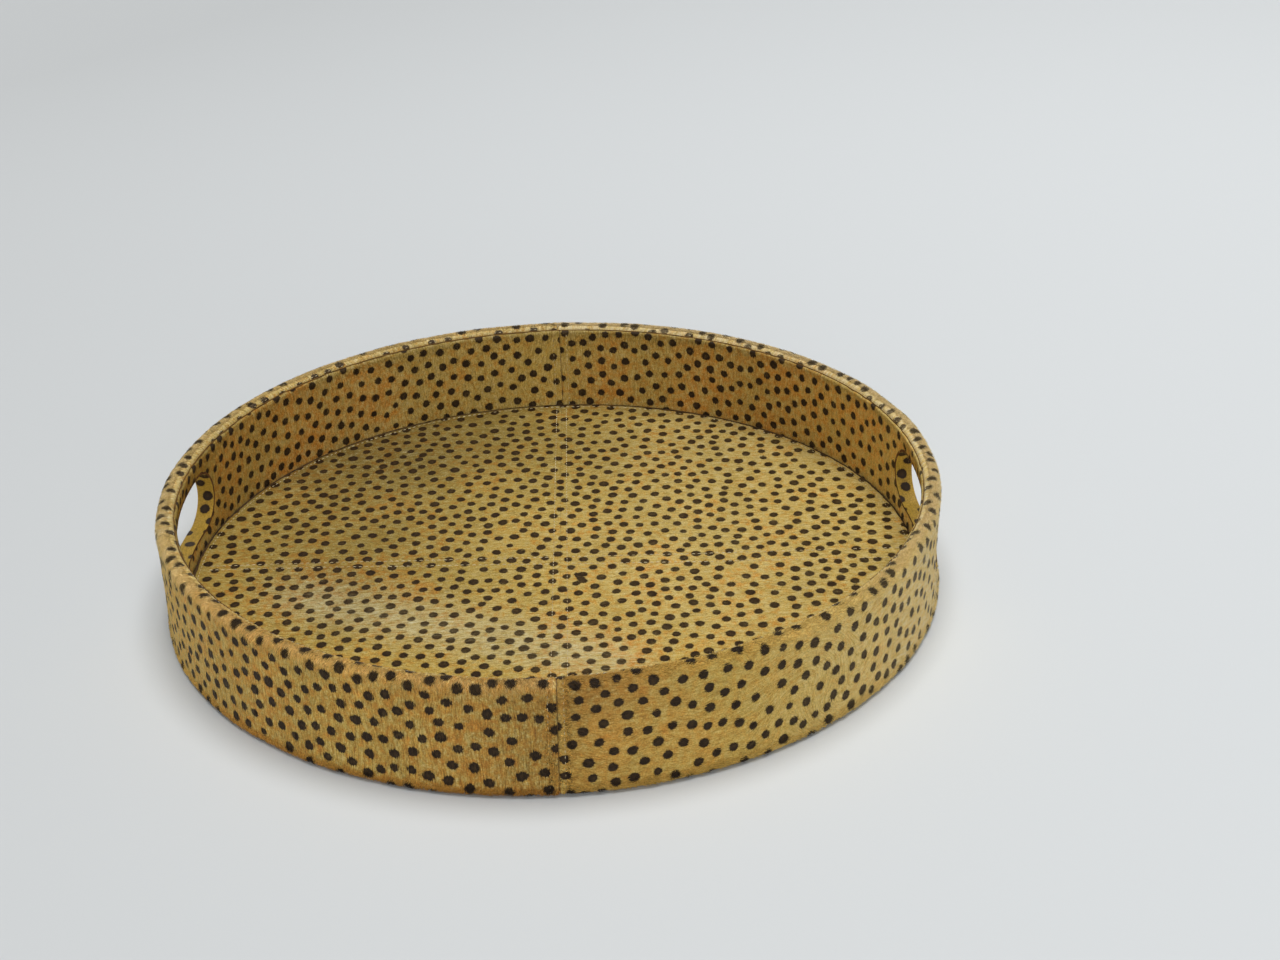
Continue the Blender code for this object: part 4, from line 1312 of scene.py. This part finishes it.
# Many seam hairs are much darker than the coat, as painted shade of the needle holes and the pulled hair;
# others are paler.
comb("seam_hairs_left", outer_left, (front_seam + WHOLE_TURN * RADIUS - 6 * MM, 0),
     (front_seam + WHOLE_TURN * RADIUS, OUTER_END), 420, 60, seam_thick, SEAM_LOOK, stray, uneven=0.9)
comb("seam_hairs_right", outer_right, (front_seam, 0), (front_seam + 6 * MM, OUTER_END), 520, 61,
     seam_thick, SEAM_LOOK, stray, uneven=0.9)
quarter = QUARTER_TURN * LINING_RADIUS
for side, hide, start, end, seed in (("right", lining_right, -quarter, quarter, 53),
                                     ("left", lining_left, quarter, 3 * quarter, 54)):
    comb(f"lining_hairs_{side}", hide, (start, 0), (end, LINING_END), 16000, seed, lining_thick,
         LINING_LOOK, stray)
for side, start, end, seed in (("right", 0, FLOOR_RADIUS, 55), ("left", -FLOOR_RADIUS, 0, 56)):
    comb(f"floor_hairs_{side}", floor, (start, -FLOOR_RADIUS), (end, FLOOR_RADIUS), 15000, seed,
         floor_thick, FLOOR_LOOK, stray)


# The solids that stay

def finish_solids(material, *nodes):
    """Gives one material to solids that are kept as they are."""
    for name in nodes:
        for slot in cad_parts[name].material_slots:
            slot.material = material


# Rotary-cut birch plywood, bent and glued: its grain runs upright, so the hoop bends across it
finish_solids(grained("bent_birch_plywood", ("#C9A676", "#A98354"), grain=(0.8 * MM, 0.8 * MM, 25 * MM),
                      detail=4.0, tone=0.5, height=0.1 * MM, patch=(9 * MM, 9 * MM, 60 * MM),
                      limits=(-0.25, 0.25), roughness=0.7),
              *[f"hoop_{layer}_ply_{side}" for layer in ("outer", "inner") for side in ("left", "right")])
# Bright drawn steel wire: faint lines from the die along its length, which is radial here
finish_solids(grained("drawn_steel_wire", ("#C4C5C7", "#A79C8E"), grain=(0.6 * MM, 0.6 * MM, 0.1 * MM),
                      detail=2.0, tone=0.2, height=0, patch=3 * MM, limits=(0.0, 0.3), roughness=0.35,
                      metallic=1.0),
              *[f"hoop_pin_{number:02d}" for number in range(1, 13)])
# Oil-tempered hardboard: pressed wood fibre, brown, with fine dark flecks
finish_solids(grained("tempered_hardboard", ("#7C5A3C", "#54392A"), grain=1.2 * MM, detail=5.0, tone=0.6,
                      height=0.1 * MM, patch=(3 * MM, 0.7 * MM, 1 * MM), limits=(0.08, 0.25), roughness=0.6),
              "base_board")
# Grey fibre card, as bookbinders use: recycled pulp with light and dark fibres, quite matt
finish_solids(grained("grey_fibre_card", ("#8F897E", "#6E6A62"), grain=0.7 * MM, detail=4.0, tone=0.5,
                      height=0.06 * MM, patch=6 * MM, limits=(-0.2, 0.2), roughness=0.9),
              "floor_card")
# Brown split suede: a short nap that lies in brushed patches, lighter where it is brushed up
finish_solids(grained("brown_split_suede", ("#4A3524", "#6B4F37"), grain=0.5 * MM, detail=3.0, tone=0.6,
                      height=0.15 * MM, patch=(28 * MM, 12 * MM, 12 * MM), limits=(-0.2, 0.25),
                      patch_detail=3.0, roughness=0.95, gloss=0.1, sheen=0.3),
              "underside_cover")


# Floor, light and camera

FLOOR_HALF = 6.0
TABLE_GAP = 0.05 * MM
# Light of the air: at the horizon, and how much more at the top
AIR_LOW = 0.05
AIR_RISE = 0.05
LAMP_COLOUR = (1.0, 0.985, 0.96)


def studio_paper():
    """Pale grey background paper: matt, with painted light making it lighter to the right and painted shade a
    little darker far back.
    """
    material, tree, shader = new_material("pale_grey_studio_paper", roughness=0.9, gloss=0.1)
    place = node(tree, "TexCoord")["Object"]
    across, along = node(tree, "SeparateXYZ", {0: place})[:2]
    # Painted light towards the right and painted shade far back.
    share = weighed(tree, (ramp(tree, across, -0.9, 0.6), 1.0), (ramp(tree, along, 0.5, 1.5), -0.5))
    tree.links.new(mixed(tree, share, linear("#C4C8CB"), linear("#DDE2E6")), shader["Base Color"])
    return material


corners = [(FLOOR_HALF * x, FLOOR_HALF * y) for x, y in ((-1, -1), (1, -1), (1, 1), (-1, 1))]
paper = bpy.data.meshes.new("studio_floor")
paper.from_pydata([(x, y, CAD_BOX[0][2] - TABLE_GAP) for x, y in corners], [], [(0, 1, 2, 3)])
paper.materials.append(studio_paper())
studio_floor = bpy.data.objects.new("studio_floor", paper)
bpy.context.scene.collection.objects.link(studio_floor)

world = bpy.data.worlds.new("studio_air")
bpy.context.scene.world = world
world.use_nodes = True
air = world.node_tree
air.nodes.clear()
ray = node(air, "LightPath")
seen = node(air, "Math", {0: ray["Is Camera Ray"], 1: ray["Is Glossy Ray"]}, operation="MAXIMUM")[0]
seen = node(air, "Math", {0: seen, 1: ray["Is Transmission Ray"]}, operation="MAXIMUM")[0]
height = node(air, "SeparateXYZ", {0: node(air, "TexCoord")["Generated"]})["Z"]
glow = node(air, "Math", {0: height, 1: AIR_RISE, 2: AIR_LOW}, operation="MULTIPLY_ADD", use_clamp=True)[0]
lit = node(air, "CombineColor", {0: glow, 1: glow, 2: glow})[0]
air_colour = mixed(air, seen, lit, linear("#D8DCDE"))
shown = node(air, "Background", {"Color": air_colour, "Strength": 1.0})[0]
air.links.new(shown, air.nodes.new("ShaderNodeOutputWorld").inputs[0])


def softbox(name, energy, spread, turn):
    """A far light of a given spread and turn, both in degrees."""
    light = bpy.data.lights.new(name, "SUN")
    light.energy = energy
    light.angle = math.radians(spread)
    light.color = LAMP_COLOUR
    lamp = bpy.data.objects.new(name, light)
    lamp.rotation_euler = [math.radians(part) for part in turn]
    bpy.context.scene.collection.objects.link(lamp)


softbox("overhead_softbox", 2.4, 36, (-3.2, 3.4, 0))
softbox("front_softbox", 1.1, 50, (62, 0, 5))

# Where the photograph was taken from: place, how far the camera looks down and leans, and its focal length
CAMERA_PLACE = (0.04397, -0.91564, 0.52502)
CAMERA_PITCH = 0.47756
CAMERA_ROLL = -0.03180
FOCAL_LENGTH = 59.06
SENSOR_WIDTH = 36

lens = bpy.data.cameras.new("photo_camera")
lens.lens = FOCAL_LENGTH
lens.sensor_width = SENSOR_WIDTH
lens.sensor_fit = "HORIZONTAL"
camera = bpy.data.objects.new("photo_camera", lens)
level = Matrix.Rotation(QUARTER_TURN - CAMERA_PITCH, 4, "X")
camera.matrix_world = Matrix.Translation(CAMERA_PLACE) @ level @ Matrix.Rotation(CAMERA_ROLL, 4, "Z")
bpy.context.scene.collection.objects.link(camera)
bpy.context.scene.camera = camera
bpy.context.scene.view_settings.view_transform = "Standard"

bpy.context.view_layer.update()
